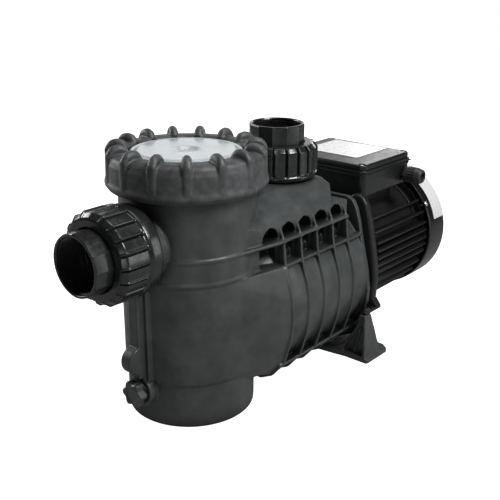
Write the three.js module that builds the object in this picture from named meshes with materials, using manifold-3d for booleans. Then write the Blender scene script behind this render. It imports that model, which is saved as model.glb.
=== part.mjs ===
// Self-priming pool pump with a pre-strainer, drawn as an assembly.
// Millimetres, +Z up, +X from the suction end to the motor.  The origin is the middle of the
// overall length, on the ground, in the pump's vertical mid-plane.
import * as THREE from "three";
import { mergeVertices } from "three/addons/utils/BufferGeometryUtils.js";
import Module from "manifold-3d";

const wasm = await Module();
wasm.setup();

// ---------------------------------------------------------------- driving dimensions
const GAP = 0.3; // clearance left between two pieces that touch
const STRAINER_X = -132.6; // axis of the strainer pot
const SHAFT_Z = 112.4; // height of the motor and impeller axis
const SMALL = 6; // facets on screws and their holes
const COARSE = 12; // facets on small round pieces
const MEDIUM = 16; // facets on middling round pieces
const FINE = 24; // facets on large round pieces

const POT = { radius: 71.5, inside: 66, footRadius: 69.4, footTop: 50, floor: 10, top: 262 };
const NECK = { radius: 76.5, bottom: 248 };
const BAND = { radius: 73.5, low: 161, high: 186 };
const RING = { radius: 84.2, waist: 82.4, thread: 77.3, low: 247, shoulder: 284.6, eye: 58.5, seat: 269.6,
  lugs: 15 };
const LID = { flangeRadius: 70, low: 264.2, high: 269.2, crown: 57.3, top: 283, dish: 15 };
const BASKET = { radius: 61, rimRadius: 64, rim: 225.5, wall: 2.4, window: 28 };
const BARREL = { radius: 90, z: 103, end: 206 };
const FLANGE = { front: 206, back: 213 };
const BRACKET = { front: 215, back: 226 };
const RIB = { places: [62, 91, 120, 150, 178], thick: 5 };
const CHEEK = { back: 62, inset: 2, top: 157 };
const RAIL = { half: 2.5, upper: 186, middle: 157, lower: 40.5 };
const CHAMBER = { radius: 78, front: 100 };
const UNION = { nutRadius: 48, root: 44.6, ribs: 20, nutLength: 36, thread: 41.3, nose: 40.5, socket: 31.8,
  bore: 28.2, throat: 25, ledge: 22.6, noseTop: 16, shoulder: 18.8, lip: 26, end: 57.2 };
const ADAPTOR = { skirt: 46, stem: 30.5, hole: 31.4, boss: 40 };
const SUCTION = { z: 198.1, x: -92, skirt: 13, stem: 15 };
const DISCHARGE = { x: 145.8, z: 232, skirt: 2.2, stem: 9 };
const DRAIN = { z: 38, boss: 17, hole: 9.5, face: -77, knob: 12, knobLength: 13, lobe: 3.2 };
const WALL_START = -50; // bosses on the pot begin inside its wall
const MOTOR = { front: 247.3, back: 371, inside: 62, body: 68, finTip: 83, finHalf: 1.2 };
const STATOR = { front: 270, back: 346, inside: 38, slots: 12, slotAt: 46 };
const COVER = { front: 372.7, back: 414.4, radius: 85.7, wall: 2.4, screws: 375.2 };
const FAN = { radius: 77, blades: 7, plate: 388, tip: 405 };
const GRILLE = [[22, 38], [43, 60]]; // inner and outer ends of the air slots
const SHAFT = { radius: 8, front: 160.3, back: 405 };
const BOX = { front: 232, back: 345, half: 65, low: 192, top: 219.5, lidTop: 231.5, wall: 3, leadX: 290,
  leadHole: 10 };
const STAND = { front: 191, back: 244, half: 110, plate: 5, legTop: 61.7, legBack: 224, topBack: 204 };
const STAND_BOLT = { x: 198.5, y: 100 };
const LUG = { front: 193, inner: 96.5, outer: 103.5, low: 62, top: 66 }; // rests on the stand
const GLAND = { x: 331, z: 204, bore: 5, hexagon: 10.8, stem: 7 };
const BOLT = { stem: 3.9, hole: 4.4, head: 7, headHeight: 6 };

// ---------------------------------------------------------------- materials
const plastic = (color, roughness) => new THREE.MeshStandardMaterial({ color, roughness, metalness: 0 });
const metal = (color, roughness) => new THREE.MeshStandardMaterial({ color, roughness, metalness: 1 });
const CASING_BLACK = () => plastic(0x2b2d30, 0.6);
const GLOSS_BLACK = () => plastic(0x141517, 0.25);
const RUBBER = () => plastic(0x0e0e0e, 0.9);
const STEEL = () => metal(0xb9bcc0, 0.3);
const PAINTED = () => plastic(0x1a1b1d, 0.45);

// ---------------------------------------------------------------- geometry helpers
const along = (distance) => STRAINER_X + distance; // x at a distance behind the strainer axis

// A closed three.js geometry as a solid: shared corners merged, flat triangles dropped, faces out.
function solid(geometry) {
  const bare = geometry.clone();
  bare.deleteAttribute("normal");
  bare.deleteAttribute("uv");
  const merged = mergeVertices(bare, 1e-3);
  const place = merged.attributes.position;
  const triangles = [];
  let volume = 0;
  const [a, b, c] = [new THREE.Vector3(), new THREE.Vector3(), new THREE.Vector3()];
  for (let i = 0; i < merged.index.count; i += 3) {
    const t = [0, 1, 2].map((k) => merged.index.getX(i + k));
    if (t[0] === t[1] || t[1] === t[2] || t[2] === t[0]) continue;
    triangles.push(t);
    [a, b, c].forEach((corner, k) => corner.fromBufferAttribute(place, t[k]));
    volume += a.dot(b.cross(c));
  }
  if (volume < 0) triangles.forEach((t) => t.reverse());
  return new wasm.Manifold(new wasm.Mesh({
    numProp: 3,
    vertProperties: new Float32Array(place.array),
    triVerts: new Uint32Array(triangles.flat()),
  }));
}

function geometryOf(body) {
  const mesh = body.getMesh();
  const geometry = new THREE.BufferGeometry();
  geometry.setAttribute("position", new THREE.BufferAttribute(new Float32Array(mesh.vertProperties), 3));
  geometry.setIndex(Array.from(mesh.triVerts));
  geometry.computeVertexNormals();
  return geometry;
}

const join = (bodies) => bodies.reduce((all, next) => all.add(next));
const cut = (body, tools) => tools.reduce((rest, tool) => rest.subtract(tool), body);

// A ring or disc turned about an axis: profile is [radius, height] pairs, and it is closed here
// unless it starts and ends on the axis.
function turned(profile, axis, centre, facets = COARSE) {
  const points = profile.map(([r, h]) => new THREE.Vector2(r, h));
  const onAxis = profile[0][0] === 0 && profile[profile.length - 1][0] === 0;
  if (!onAxis) points.push(points[0].clone());
  const geometry = new THREE.LatheGeometry(points, facets);
  if (axis === "x") geometry.rotateZ(-Math.PI / 2);
  if (axis === "z") geometry.rotateX(Math.PI / 2);
  geometry.translate(...centre);
  return solid(geometry);
}

const disc = (radius, low, high, axis, centre, facets) =>
  turned([[0, low], [radius, low], [radius, high], [0, high]], axis, centre, facets);
const tube = (inner, outer, low, high, axis, centre, facets) =>
  turned([[inner, low], [outer, low], [outer, high], [inner, high]], axis, centre, facets);
const onShaft = [STRAINER_X, 0, SHAFT_Z]; // distances along the shaft start at the strainer axis

function box(x0, x1, y0, y1, z0, z1) {
  const geometry = new THREE.BoxGeometry(x1 - x0, y1 - y0, z1 - z0);
  geometry.translate((x0 + x1) / 2, (y0 + y1) / 2, (z0 + z1) / 2);
  return solid(geometry);
}

const outline = (points) => new THREE.Shape(points.map(([u, v]) => new THREE.Vector2(u, v)));
const mirrored = (half) => [...half, ...half.slice().reverse().map(([y, z]) => [-y, z])]
  .filter((p, i, all) => i === 0 || p[0] !== all[i - 1][0] || p[1] !== all[i - 1][1]);

// A slab with its outline given in (y, z), from x0 to x1.
function slabX(points, x0, x1) {
  const geometry = new THREE.ExtrudeGeometry(outline(points), { depth: x1 - x0, bevelEnabled: false });
  geometry.applyMatrix4(new THREE.Matrix4().set(0, 0, 1, x0, 1, 0, 0, 0, 0, 1, 0, 0, 0, 0, 0, 1));
  return solid(geometry);
}

// A slab with its outline given in (x, z), from y0 to y1.
function slabY(points, y0, y1) {
  const geometry = new THREE.ExtrudeGeometry(outline(points), { depth: y1 - y0, bevelEnabled: false });
  geometry.applyMatrix4(new THREE.Matrix4().set(1, 0, 0, 0, 0, 0, 1, y0, 0, 1, 0, 0, 0, 0, 0, 1));
  return solid(geometry);
}

// An outline whose first numbers are distances behind the strainer axis.
const behind = (points) => points.map(([distance, v]) => [along(distance), v]);

// A slab with its outline given in (x, y), from z0 to z1.
function slabZ(points, z0, z1) {
  const geometry = new THREE.ExtrudeGeometry(outline(points), { depth: z1 - z0, bevelEnabled: false });
  geometry.translate(0, 0, z0);
  return solid(geometry);
}

// Copies of a body set round an axis through a centre.
function around(body, count, axis, [cx, cy, cz], first = 0) {
  const copies = [];
  for (let i = 0; i < count; i += 1) {
    const turn = first + (360 * i) / count;
    const angles = axis === "x" ? [turn, 0, 0] : [0, 0, turn];
    copies.push(body.translate([-cx, -cy, -cz]).rotate(angles).translate([cx, cy, cz]));
  }
  return join(copies);
}

const pump = new THREE.Group();
function piece(name, body, material) {
  const mesh = new THREE.Mesh(geometryOf(body), material);
  mesh.name = name;
  pump.add(mesh);
}

// ---------------------------------------------------------------- pump casing
const RIB_HALF = [[0, 13], [50, 14], [66, 22], [83, 42], [87, 55], [92.6, 75], [95.4, 99], [94, 120],
  [91, 134], [86, 147], [82, 165], [80, 187], [73, 203], [0, 203]];
const FLANGE_HALF = [[0, 12], [50, 13], [68, 24], [87, 51], [94.6, 72], [96, 90], [92, 114], [84.5, 143],
  [78, 173], [73.5, 187], [68.5, 196], [60, 200], [0, 200]];
const BRACKET_HALF = [[0, 8], [50, 9], [70, 20], [90, 48], [97, 72], [99, 100], [97, 122], [93, 143],
  [86.5, 174], [81, 192], [76, 198.5], [70, 201.5], [62, 201], [56, 195.5], [0, 195.5]];
const HUMP = { front: 5, back: 188, top: 229.5, flank: 73.5, wallTop: 203.3 };
const HUMP_HALF = [[0, 150], [70, 150], [70, 199], [HUMP.flank, 200], [HUMP.flank, 205], [68, 212],
  [55, 217.5], [40, 227.5], [0, HUMP.top]];
const HUMP_TAIL = [[171, 231], [171, 230], [177, 226.5], [184, 214], [187, 203], [193, 203], [193, 231]];
const FRONT_TAPER = [[4, 68.5], [28, HUMP.flank], [28, 90], [4, 90]];
const REAR_TAPER = [[150, 77.5], [178, 54], [193, 42], [193, 95], [150, 95]];

function casingPot() {
  return turned([[0, 0], [POT.footRadius, 0], [POT.footRadius, POT.footTop], [POT.radius, POT.footTop],
    [POT.radius, BAND.low], [BAND.radius, BAND.low], [BAND.radius, BAND.high], [POT.radius, BAND.high],
    [POT.radius, NECK.bottom], [NECK.radius, NECK.bottom + 4], [NECK.radius, POT.top], [0, POT.top]],
  "z", [STRAINER_X, 0, 0], FINE);
}

// The wall that runs smoothly from the pot to the first rib of the barrel.
function casingCheeks() {
  const pot = disc(POT.radius, POT.footTop, CHEEK.top, "z", [STRAINER_X, 0, 0], FINE);
  const inset = RIB_HALF.map(([y, z]) => [Math.max(0, y - CHEEK.inset), z + (y === 0 ? 0 : CHEEK.inset)]);
  const barrel = slabX(mirrored(inset), along(CHEEK.back - 2), along(CHEEK.back));
  const keep = box(along(-POT.radius), along(CHEEK.back), -BARREL.radius, BARREL.radius, 0, CHEEK.top);
  return wasm.Manifold.hull([pot, barrel]).intersect(keep);
}

function casingHump() {
  const tapers = [[FRONT_TAPER, 140], [REAR_TAPER, HUMP.wallTop]].flatMap(([points, low]) =>
    [1, -1].map((side) => slabZ(behind(points).map(([x, y]) => [x, side * y]), low, HUMP.top + 1)));
  const tail = slabY(behind(HUMP_TAIL), -90, 90);
  const ribs = RIB.places.map((x) => slabX(mirrored(RIB_HALF), along(x - RIB.thick / 2),
    along(x + RIB.thick / 2)));
  return cut(join([slabX(mirrored(HUMP_HALF), along(HUMP.front), along(HUMP.back)), ...ribs]),
    [tail, ...tapers]);
}

function casingShell() {
  const barrel = turned([[0, 20], [45, 20], [70, 45], [84, 62], [BARREL.radius, 76],
    [BARREL.radius, BARREL.end], [0, BARREL.end]], "x", [STRAINER_X, 0, BARREL.z], FINE);
  const rails = [[20, 180, 82, RAIL.upper], [34, 207, 84, RAIL.middle], [56, 207, 80, RAIL.lower]].map(
    ([front, back, half, z]) => box(along(front), along(back), -half, half, z - RAIL.half, z + RAIL.half));
  const flange = slabX(mirrored(FLANGE_HALF), along(FLANGE.front), along(FLANGE.back));
  return join([casingPot(), barrel, casingCheeks(), casingHump(), ...rails, flange]);
}

function casingBosses() {
  const suction = disc(ADAPTOR.boss, SUCTION.x + SUCTION.skirt + GAP, WALL_START, "x",
    [STRAINER_X, 0, SUCTION.z], FINE);
  const web = slabY(behind([[-82, 60], [-60, 60], [-60, 165], [-78.5, 165], [-78.5, 151], [-82, 151]]),
    -7, 7);
  const lobe = solid(new THREE.CylinderGeometry(15, 15, 14, COARSE).translate(along(-80), 0, 76));
  const drain = disc(DRAIN.boss, DRAIN.face, WALL_START, "x", [STRAINER_X, 0, DRAIN.z], COARSE);
  return join([suction, web, lobe, drain]);
}

function casingHollows() {
  const pot = disc(POT.inside, POT.floor, POT.top + 1, "z", [STRAINER_X, 0, 0], FINE);
  const inlet = disc(ADAPTOR.hole, SUCTION.x, -40, "x", [STRAINER_X, 0, SUCTION.z], MEDIUM);
  const passage = disc(30, 50, CHAMBER.front + 1, "x", onShaft, COARSE);
  const chamber = disc(CHAMBER.radius, CHAMBER.front, FLANGE.back + 1, "x", onShaft, FINE);
  const riser = box(along(108), along(166), -50, 50, 160, 222);
  const outlet = disc(ADAPTOR.hole, 200, DISCHARGE.z, "z", [along(DISCHARGE.x), 0, 0], MEDIUM);
  const drain = disc(DRAIN.hole, DRAIN.face - 1, WALL_START, "x", [STRAINER_X, 0, DRAIN.z], COARSE);
  const bolts = FLANGE_BOLTS.map(([y, z]) => disc(BOLT.hole, 190, FLANGE.back + 1, "x", [STRAINER_X, y, z],
    SMALL));
  return [pot, inlet, passage, chamber, riser, outlet, drain, ...bolts];
}

const FLANGE_BOLTS = [[66, 186], [-66, 186], [78, 54], [-78, 54], [32, 24], [-32, 24]];

function addCasing() {
  piece("pump_casing", cut(join([casingShell(), casingBosses()]), casingHollows()), CASING_BLACK());
}

// ---------------------------------------------------------------- strainer
function addStrainer() {
  const base = POT.floor + GAP;
  const cup = turned([[0, base], [56, base], [59, base + 4], [BASKET.radius, BASKET.rim - 3.5],
    [BASKET.rimRadius, BASKET.rim - 3.5], [BASKET.rimRadius, BASKET.rim],
    [BASKET.radius - BASKET.wall, BASKET.rim], [59 - BASKET.wall, base + 6], [54, base + 3], [0, base + 3]],
  "z", [STRAINER_X, 0, 0], FINE);
  const inletWindow = disc(BASKET.window, -80, -40, "x", [STRAINER_X, 0, 190], COARSE);
  const slots = around(box(along(45), along(75), -5, 5, 45, 145), 8, "z", [STRAINER_X, 0, 0]);
  const handle = slabX([[-60, 218], [-60, 224], [-22, 246], [22, 246], [60, 224], [60, 218], [54, 218],
    [20, 238], [-20, 238], [-54, 218]], along(-5), along(5));
  piece("strainer_basket", join([cut(cup, [inletWindow, slots]), handle]), plastic(0xd9dad6, 0.5));

  piece("lid_o_ring", tube(66.6, NECK.radius - 7, POT.top + GAP, LID.low - GAP, "z",
    [STRAINER_X, 0, 0], FINE), RUBBER());
  piece("clear_lid", turned([[0, LID.top - 3], [LID.dish - 3, LID.top - 3], [LID.dish, LID.top],
    [LID.crown, LID.top], [LID.crown, LID.high], [LID.flangeRadius, LID.high], [LID.flangeRadius, LID.low],
    [52, LID.low], [52, LID.top - 4], [20, LID.top - 4], [14, LID.top - 7], [0, LID.top - 7]],
  "z", [STRAINER_X, 0, 0], FINE), plastic(0xdfe2e0, 0.15));

  const lugSide = [[60, 279], [60, 284], [64, 290], [70.7, 293.4], [77, 291.5], [82, 286.5], [84.2, 279],
    [84.2, 252], [80, 252], [80, 279]];
  const hoop = turned([[RING.thread, RING.low], [81, RING.low], [RING.radius, RING.low + 4],
    [RING.radius, RING.low + 6], [RING.waist, RING.low + 9], [RING.waist, 281], [80, RING.shoulder],
    [RING.eye, RING.shoulder], [RING.eye, RING.seat], [RING.thread, RING.seat]], "z", [STRAINER_X, 0, 0],
  2 * RING.lugs);
  const lug = slabY(lugSide.map(([r, z]) => [along(r), z]), -4.2, 4.2);
  piece("lid_lock_ring", join([hoop, around(lug, RING.lugs, "z", [STRAINER_X, 0, 0], 225)]),
    CASING_BLACK());
}

// ---------------------------------------------------------------- pipe unions
// Each union is drawn with its axis on +Z and the nut's casing end at 0, then turned into place.
function unionNut() {
  const hoop = turned([[UNION.thread, 0], [UNION.nutRadius, 0], [UNION.nutRadius, 8], [UNION.root, 9],
    [UNION.root, 30], [UNION.root - 4, UNION.nutLength], [UNION.socket + 0.8, UNION.nutLength],
    [UNION.socket + 0.8, UNION.lip], [UNION.thread, UNION.lip]], "z", [0, 0, 0], UNION.ribs);
  const rib = box(UNION.root - 1.5, UNION.nutRadius, -2.6, 2.6, 4, 30.5);
  return join([hoop, around(rib, UNION.ribs, "z", [0, 0, 0], 9)]);
}

function unionSocket() {
  return turned([[UNION.ledge, UNION.shoulder], [UNION.nose - 1, UNION.shoulder],
    [UNION.nose - 1, UNION.lip - GAP], [UNION.socket, UNION.lip - GAP], [UNION.socket, UNION.end],
    [UNION.bore, UNION.end], [UNION.bore, UNION.lip], [UNION.ledge, UNION.lip]], "z", [0, 0, 0], MEDIUM);
}

// The adaptor screws into the casing by its stem; the nut runs on its nose, above the wrench skirt.
function unionAdaptor(skirt, stem) {
  return turned([[UNION.throat, -skirt - stem], [ADAPTOR.stem, -skirt - stem], [ADAPTOR.stem, -skirt],
    [ADAPTOR.skirt, -skirt], [ADAPTOR.skirt, -GAP], [UNION.nose, -GAP], [UNION.nose, UNION.noseTop],
    [UNION.throat, UNION.noseTop]], "z", [0, 0, 0], COARSE);
}

function unionSeal() {
  return tube(29, 35, UNION.noseTop + GAP, UNION.shoulder - GAP, "z", [0, 0, 0], MEDIUM);
}

function addUnions() {
  const toSuction = (body) => body.rotate([0, -90, 0]).translate([along(SUCTION.x), 0, SUCTION.z]);
  const toDischarge = (body) => body.translate([along(DISCHARGE.x), 0, DISCHARGE.z]);
  const unions = [["suction", toSuction, SUCTION], ["discharge", toDischarge, DISCHARGE]];
  for (const [name, put, port] of unions) {
    piece(`${name}_union_nut`, put(unionNut()), GLOSS_BLACK());
    piece(`${name}_union_adaptor`, put(unionAdaptor(port.skirt, port.stem)), GLOSS_BLACK());
    piece(`${name}_union_socket`, put(unionSocket()), GLOSS_BLACK());
    piece(`${name}_union_o_ring`, put(unionSeal()), RUBBER());
  }
}

// ---------------------------------------------------------------- drain plug
function addDrainPlug() {
  const centre = [STRAINER_X, 0, DRAIN.z];
  const stem = disc(DRAIN.hole - 0.5, DRAIN.face - 4, -60, "x", centre, COARSE);
  const front = DRAIN.face - DRAIN.knobLength;
  const head = disc(DRAIN.knob, front, DRAIN.face - 2.6, "x", centre, COARSE);
  const lobe = disc(DRAIN.lobe, front, DRAIN.face - 4, "x", [STRAINER_X, 0, DRAIN.z + 11.2], SMALL);
  const lobes = around(lobe, 6, "x", centre, 30);
  piece("drain_plug", join([stem, head, lobes]), CASING_BLACK());
  piece("drain_plug_o_ring", tube(DRAIN.hole - 0.1, 12.5, DRAIN.face - 2.3, DRAIN.face - GAP, "x",
    centre, COARSE), RUBBER());
}

// ---------------------------------------------------------------- impeller and shaft seal
function impellerVane() {
  const rows = [12, 30, 57];
  const sweep = (r) => 0.9 * Math.log(r / 12);
  const edge = (side) => rows.map((r) => [r * Math.cos(sweep(r)) - side * Math.sin(sweep(r)),
    r * Math.sin(sweep(r)) + side * Math.cos(sweep(r))]);
  return slabX([...edge(-1.2), ...edge(1.2).reverse()], along(154), along(168.5));
}

function addImpeller() {
  const back = turned([[8.3, 160], [8.3, 199.6], [10, 199.6], [10, 175], [58, 172], [58, 168], [14, 166],
    [10, 152], [3.5, 152], [3.5, 160]], "x", onShaft, MEDIUM);
  const shroud = turned([[26, 142], [29, 142], [29, 150], [58, 155], [58, 158], [26, 153]], "x",
    onShaft, MEDIUM);
  const vanes = around(impellerVane().translate([0, 0, SHAFT_Z]), 6, "x", onShaft);
  piece("impeller", join([back, shroud, vanes]), plastic(0x2a2a2c, 0.5));
  piece("impeller_screw", join([disc(6.5, 147, 151.7, "x", onShaft, SMALL),
    disc(3.1, 150, 172, "x", onShaft, SMALL)]), STEEL());
  piece("diffuser", join([
    turned([[31, 138], [66, 138], [72, 148], [74, 204], [71, 204], [68, 150], [64, 142], [31, 142]], "x",
      onShaft, FINE),
    tube(32, 37, 104, 140, "x", onShaft, COARSE)]), plastic(0x2a2a2c, 0.5));
  piece("seal_rotating_head", tube(10.4, 16, 184, 200, "x", onShaft, COARSE), STEEL());
  piece("seal_ceramic_seat", tube(11, 18, 200.4, 208, "x", onShaft, COARSE), plastic(0xe8e4d8, 0.3));
  piece("casing_gasket", tube(79, 86, FLANGE.back + GAP, BRACKET.front - GAP, "x", onShaft, FINE),
    RUBBER());
}

// ---------------------------------------------------------------- bracket between pump and motor
function addBracket() {
  const plate = slabX(mirrored(BRACKET_HALF), along(BRACKET.front), along(BRACKET.back));
  const skirt = tube(60, 70, BRACKET.back - 1, 240.6, "x", onShaft, FINE);
  const spigot = tube(70, 77.4, 206, BRACKET.front + 1, "x", onShaft, FINE);
  const hub = tube(12, 27, 199, BRACKET.front + 1, "x", onShaft, COARSE);
  const span = (side) => (side > 0 ? [LUG.inner, LUG.outer] : [-LUG.outer, -LUG.inner]);
  const lugs = [1, -1].map((side) => join([
    box(along(LUG.front), along(BRACKET.back), ...span(side), LUG.low, LUG.top),
    slabX([[88, LUG.low], [LUG.outer, LUG.low], [LUG.outer, LUG.top], [97, 74], [88, 76]].map(
      ([y, z]) => [side * y, z]), along(BRACKET.front), along(BRACKET.back))]));
  const holes = [disc(18.4, 190, 208.4, "x", onShaft, COARSE), disc(12, 190, 240, "x", onShaft, COARSE)];
  const boltHoles = FLANGE_BOLTS.map(([y, z]) => disc(BOLT.hole, 210, 230, "x", [STRAINER_X, y, z], SMALL));
  const lugHoles = [1, -1].map((side) => disc(3, 55, 80, "z",
    [along(STAND_BOLT.x), side * STAND_BOLT.y, 0], SMALL));
  piece("motor_bracket", cut(join([plate, skirt, spigot, hub, ...lugs]),
    [...holes, ...boltHoles, ...lugHoles]), CASING_BLACK());
  FLANGE_BOLTS.forEach(([y, z], i) => {
    const at = [STRAINER_X, y, z];
    piece(`flange_bolt_${i + 1}`, join([disc(BOLT.stem, FLANGE.front + 1, 229, "x", at, SMALL),
      disc(BOLT.head, BRACKET.back + GAP, BRACKET.back + BOLT.headHeight, "x", at, SMALL)]), STEEL());
  });
}

// ---------------------------------------------------------------- stand
function standHalf(side) {
  const leg = [[45, 4], [106, 4], [103.7, STAND.legTop], [95.5, STAND.legTop], [94.5, 54], [91, 44],
    [74, 17], [55, 5]];
  const pocket = [[72, 8], [101.5, 8], [100, 46], [94.5, 40], [76, 14]];
  const turn = (points) => points.map(([y, z]) => [side * y, z]);
  const slope = slabY(behind([[STAND.topBack, 64], [STAND.topBack, STAND.legTop], [STAND.legBack, 12],
    [STAND.legBack + 2, 12], [STAND.legBack + 2, 64]]), -STAND.half, STAND.half);
  return cut(slabX(turn(leg), along(STAND.front), along(STAND.legBack)),
    [slope, slabX(turn(pocket), along(STAND.front - 1), along(STAND.topBack - 5))]);
}

function addStand() {
  const bow = [60, 40, 20, 0, -20, -40, -60].map((y) =>
    [STAND.front - 8 * Math.cos((y * Math.PI) / 160), y]);
  const plate = slabZ(behind([[STAND.back - 8, -STAND.half], [STAND.back, -STAND.half + 10],
    [STAND.back, STAND.half - 10], [STAND.back - 8, STAND.half], [STAND.front, STAND.half],
    [STAND.front, 80], ...bow, [STAND.front, -80], [STAND.front, -STAND.half]]), 0, STAND.plate);
  const holes = [1, -1].map((side) => disc(3, 47, 70, "z",
    [along(STAND_BOLT.x), side * STAND_BOLT.y, 0], SMALL));
  const feet = [1, -1].map((side) => disc(4.5, -1, 10, "z", [along(STAND.back - 8), side * 88, 0], MEDIUM));
  piece("motor_stand", cut(join([plate, standHalf(1), standHalf(-1)]), [...holes, ...feet]), PAINTED());
  [1, -1].forEach((side, i) => {
    const at = [along(STAND_BOLT.x), side * STAND_BOLT.y, 0];
    piece(`stand_bolt_${i + 1}`, join([disc(2.6, 49, LUG.top + 2, "z", at, SMALL),
      disc(4.5, LUG.top + GAP, LUG.top + 4, "z", at, SMALL)]), STEEL());
  });
}

// ---------------------------------------------------------------- motor
const FIN_ANGLES = [36, 24, 14, 7, 0, -7, -14, -26, -38, -50, -62, -74, -86];

function motorHousing() {
  const shell = tube(MOTOR.inside, MOTOR.body, MOTOR.front, MOTOR.back, "x", onShaft, FINE);
  const fins = [];
  for (const angle of FIN_ANGLES) {
    for (const side of [1, -1]) {
      const fin = box(along(MOTOR.front + 2), along(MOTOR.back - 1), MOTOR.body - 2, MOTOR.finTip,
        -MOTOR.finHalf, MOTOR.finHalf);
      fins.push(fin.rotate([side > 0 ? angle : 180 - angle, 0, 0]).translate([0, 0, SHAFT_Z]));
    }
  }
  const pedestal = cut(box(along(262), along(340), -40, 40, 165, BOX.low - GAP), [
    disc(MOTOR.inside + 1, MOTOR.front, MOTOR.back, "x", onShaft, FINE)]);
  const leadHole = disc(BOX.leadHole, 150, 200, "z", [along(BOX.leadX), 0, 0], MEDIUM);
  return cut(join([shell, ...fins, pedestal]), [leadHole]);
}

function statorCore() {
  const core = tube(STATOR.inside, MOTOR.inside - 1, STATOR.front, STATOR.back, "x", onShaft, MEDIUM);
  const slot = disc(3.4, STATOR.front - 10, STATOR.back + 10, "x",
    [STRAINER_X, 0, SHAFT_Z + STATOR.slotAt], SMALL);
  return cut(core, [around(slot, STATOR.slots, "x", onShaft)]);
}

function statorWinding() {
  const heads = [[252, 268], [348, 364]].map(([low, high]) => tube(40.5, 56, low, high, "x", onShaft,
    MEDIUM));
  const bar = disc(2.9, STATOR.front - 10, STATOR.back + 10, "x",
    [STRAINER_X, 0, SHAFT_Z + STATOR.slotAt], SMALL);
  return join([...heads, around(bar, STATOR.slots, "x", onShaft)]);
}

function addMotor() {
  piece("motor_housing", motorHousing(), PAINTED());
  piece("front_end_shield", turned([[SHAFT.radius + 2, 230], [26, 230], [26, 241.2], [76, 241.2], [76, 247],
    [60, 247], [60, 250], [20.4, 250], [20.4, 236], [SHAFT.radius + 2, 236]], "x", onShaft, MEDIUM),
  PAINTED());
  piece("rear_end_shield", turned([[20.4, 366], [60, 366], [60, MOTOR.back + GAP], [78, MOTOR.back + GAP],
    [78, 377], [26, 380], [26, 384], [SHAFT.radius + 2, 384], [SHAFT.radius + 2, 380], [20.4, 380]], "x",
  onShaft, MEDIUM), PAINTED());
  piece("front_bearing", tube(SHAFT.radius + GAP, 20, 236.4, 248, "x", onShaft, COARSE), STEEL());
  piece("rear_bearing", tube(SHAFT.radius + GAP, 20, 368, 379.6, "x", onShaft, COARSE), STEEL());
  const shaftBody = disc(SHAFT.radius, SHAFT.front, SHAFT.back, "x", onShaft, COARSE);
  piece("motor_shaft", cut(shaftBody, [disc(3.4, SHAFT.front - 1, 176, "x", onShaft, SMALL)]), STEEL());
  piece("rotor_core", tube(SHAFT.radius + GAP, 36.8, 268, 348, "x", onShaft, MEDIUM), metal(0x8b8d90, 0.4));
  piece("stator_core", statorCore(), metal(0x777a7d, 0.5));
  piece("stator_winding", statorWinding(), metal(0xa8562a, 0.4));
}

// ---------------------------------------------------------------- fan and fan cover
function addFan() {
  const hub = turned([[SHAFT.radius + GAP, FAN.plate], [FAN.radius, FAN.plate],
    [FAN.radius, FAN.plate + 2.5], [16, FAN.plate + 2.5], [16, FAN.tip - 1],
    [SHAFT.radius + GAP, FAN.tip - 1]], "x", onShaft, FINE);
  const blade = box(along(FAN.plate + 1), along(FAN.tip), 14, FAN.radius - 1, SHAFT_Z - 1, SHAFT_Z + 1);
  piece("cooling_fan", join([hub, around(blade, FAN.blades, "x", onShaft)]), plastic(0x232323, 0.5));

  const inside = COVER.radius - COVER.wall;
  const cup = turned([[inside, COVER.front], [COVER.radius, COVER.front], [COVER.radius, COVER.back - 5],
    [COVER.radius - 5, COVER.back], [0, COVER.back], [0, COVER.back - COVER.wall],
    [inside - 5, COVER.back - COVER.wall], [inside, COVER.back - 7]].reverse(), "x", onShaft, FINE);
  const slots = GRILLE.map(([low, high]) => around(
    box(along(COVER.back - 4), along(COVER.back + 1), low, high, SHAFT_Z - 3.5, SHAFT_Z + 3.5), 10, "x",
    onShaft));
  const screwHole = disc(2.4, 75, 95, "z", [along(COVER.screws), 0, SHAFT_Z], SMALL);
  const screwHoles = around(screwHole, 3, "x", onShaft, 60);
  piece("fan_cover", cut(cup, [...slots, screwHoles]), GLOSS_BLACK());
  for (let i = 0; i < 3; i += 1) {
    const screw = join([disc(2, 78.4, 87, "z", [along(COVER.screws), 0, SHAFT_Z], SMALL),
      disc(3.6, COVER.radius + 0.4, COVER.radius + 2.4, "z", [along(COVER.screws), 0, SHAFT_Z], SMALL)]);
    piece(`fan_cover_screw_${i + 1}`, around(screw, 1, "x", onShaft, 60 + 120 * i), STEEL());
  }
  const arc = [];
  for (let angle = 15; angle <= 75; angle += 7.5) arc.push((angle * Math.PI) / 180);
  const rim = (r) => arc.map((a) => [-r * Math.cos(a), SHAFT_Z + r * Math.sin(a)]);
  piece("fan_cover_label", slabX([...rim(COVER.radius + 0.3), ...rim(COVER.radius + 0.8).reverse()],
    along(385), along(408)), plastic(0xf2f2f0, 0.4));
}

// ---------------------------------------------------------------- terminal box
const LID_SCREWS = [[8, 1], [8, -1], [105, 1], [105, -1]];

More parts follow.
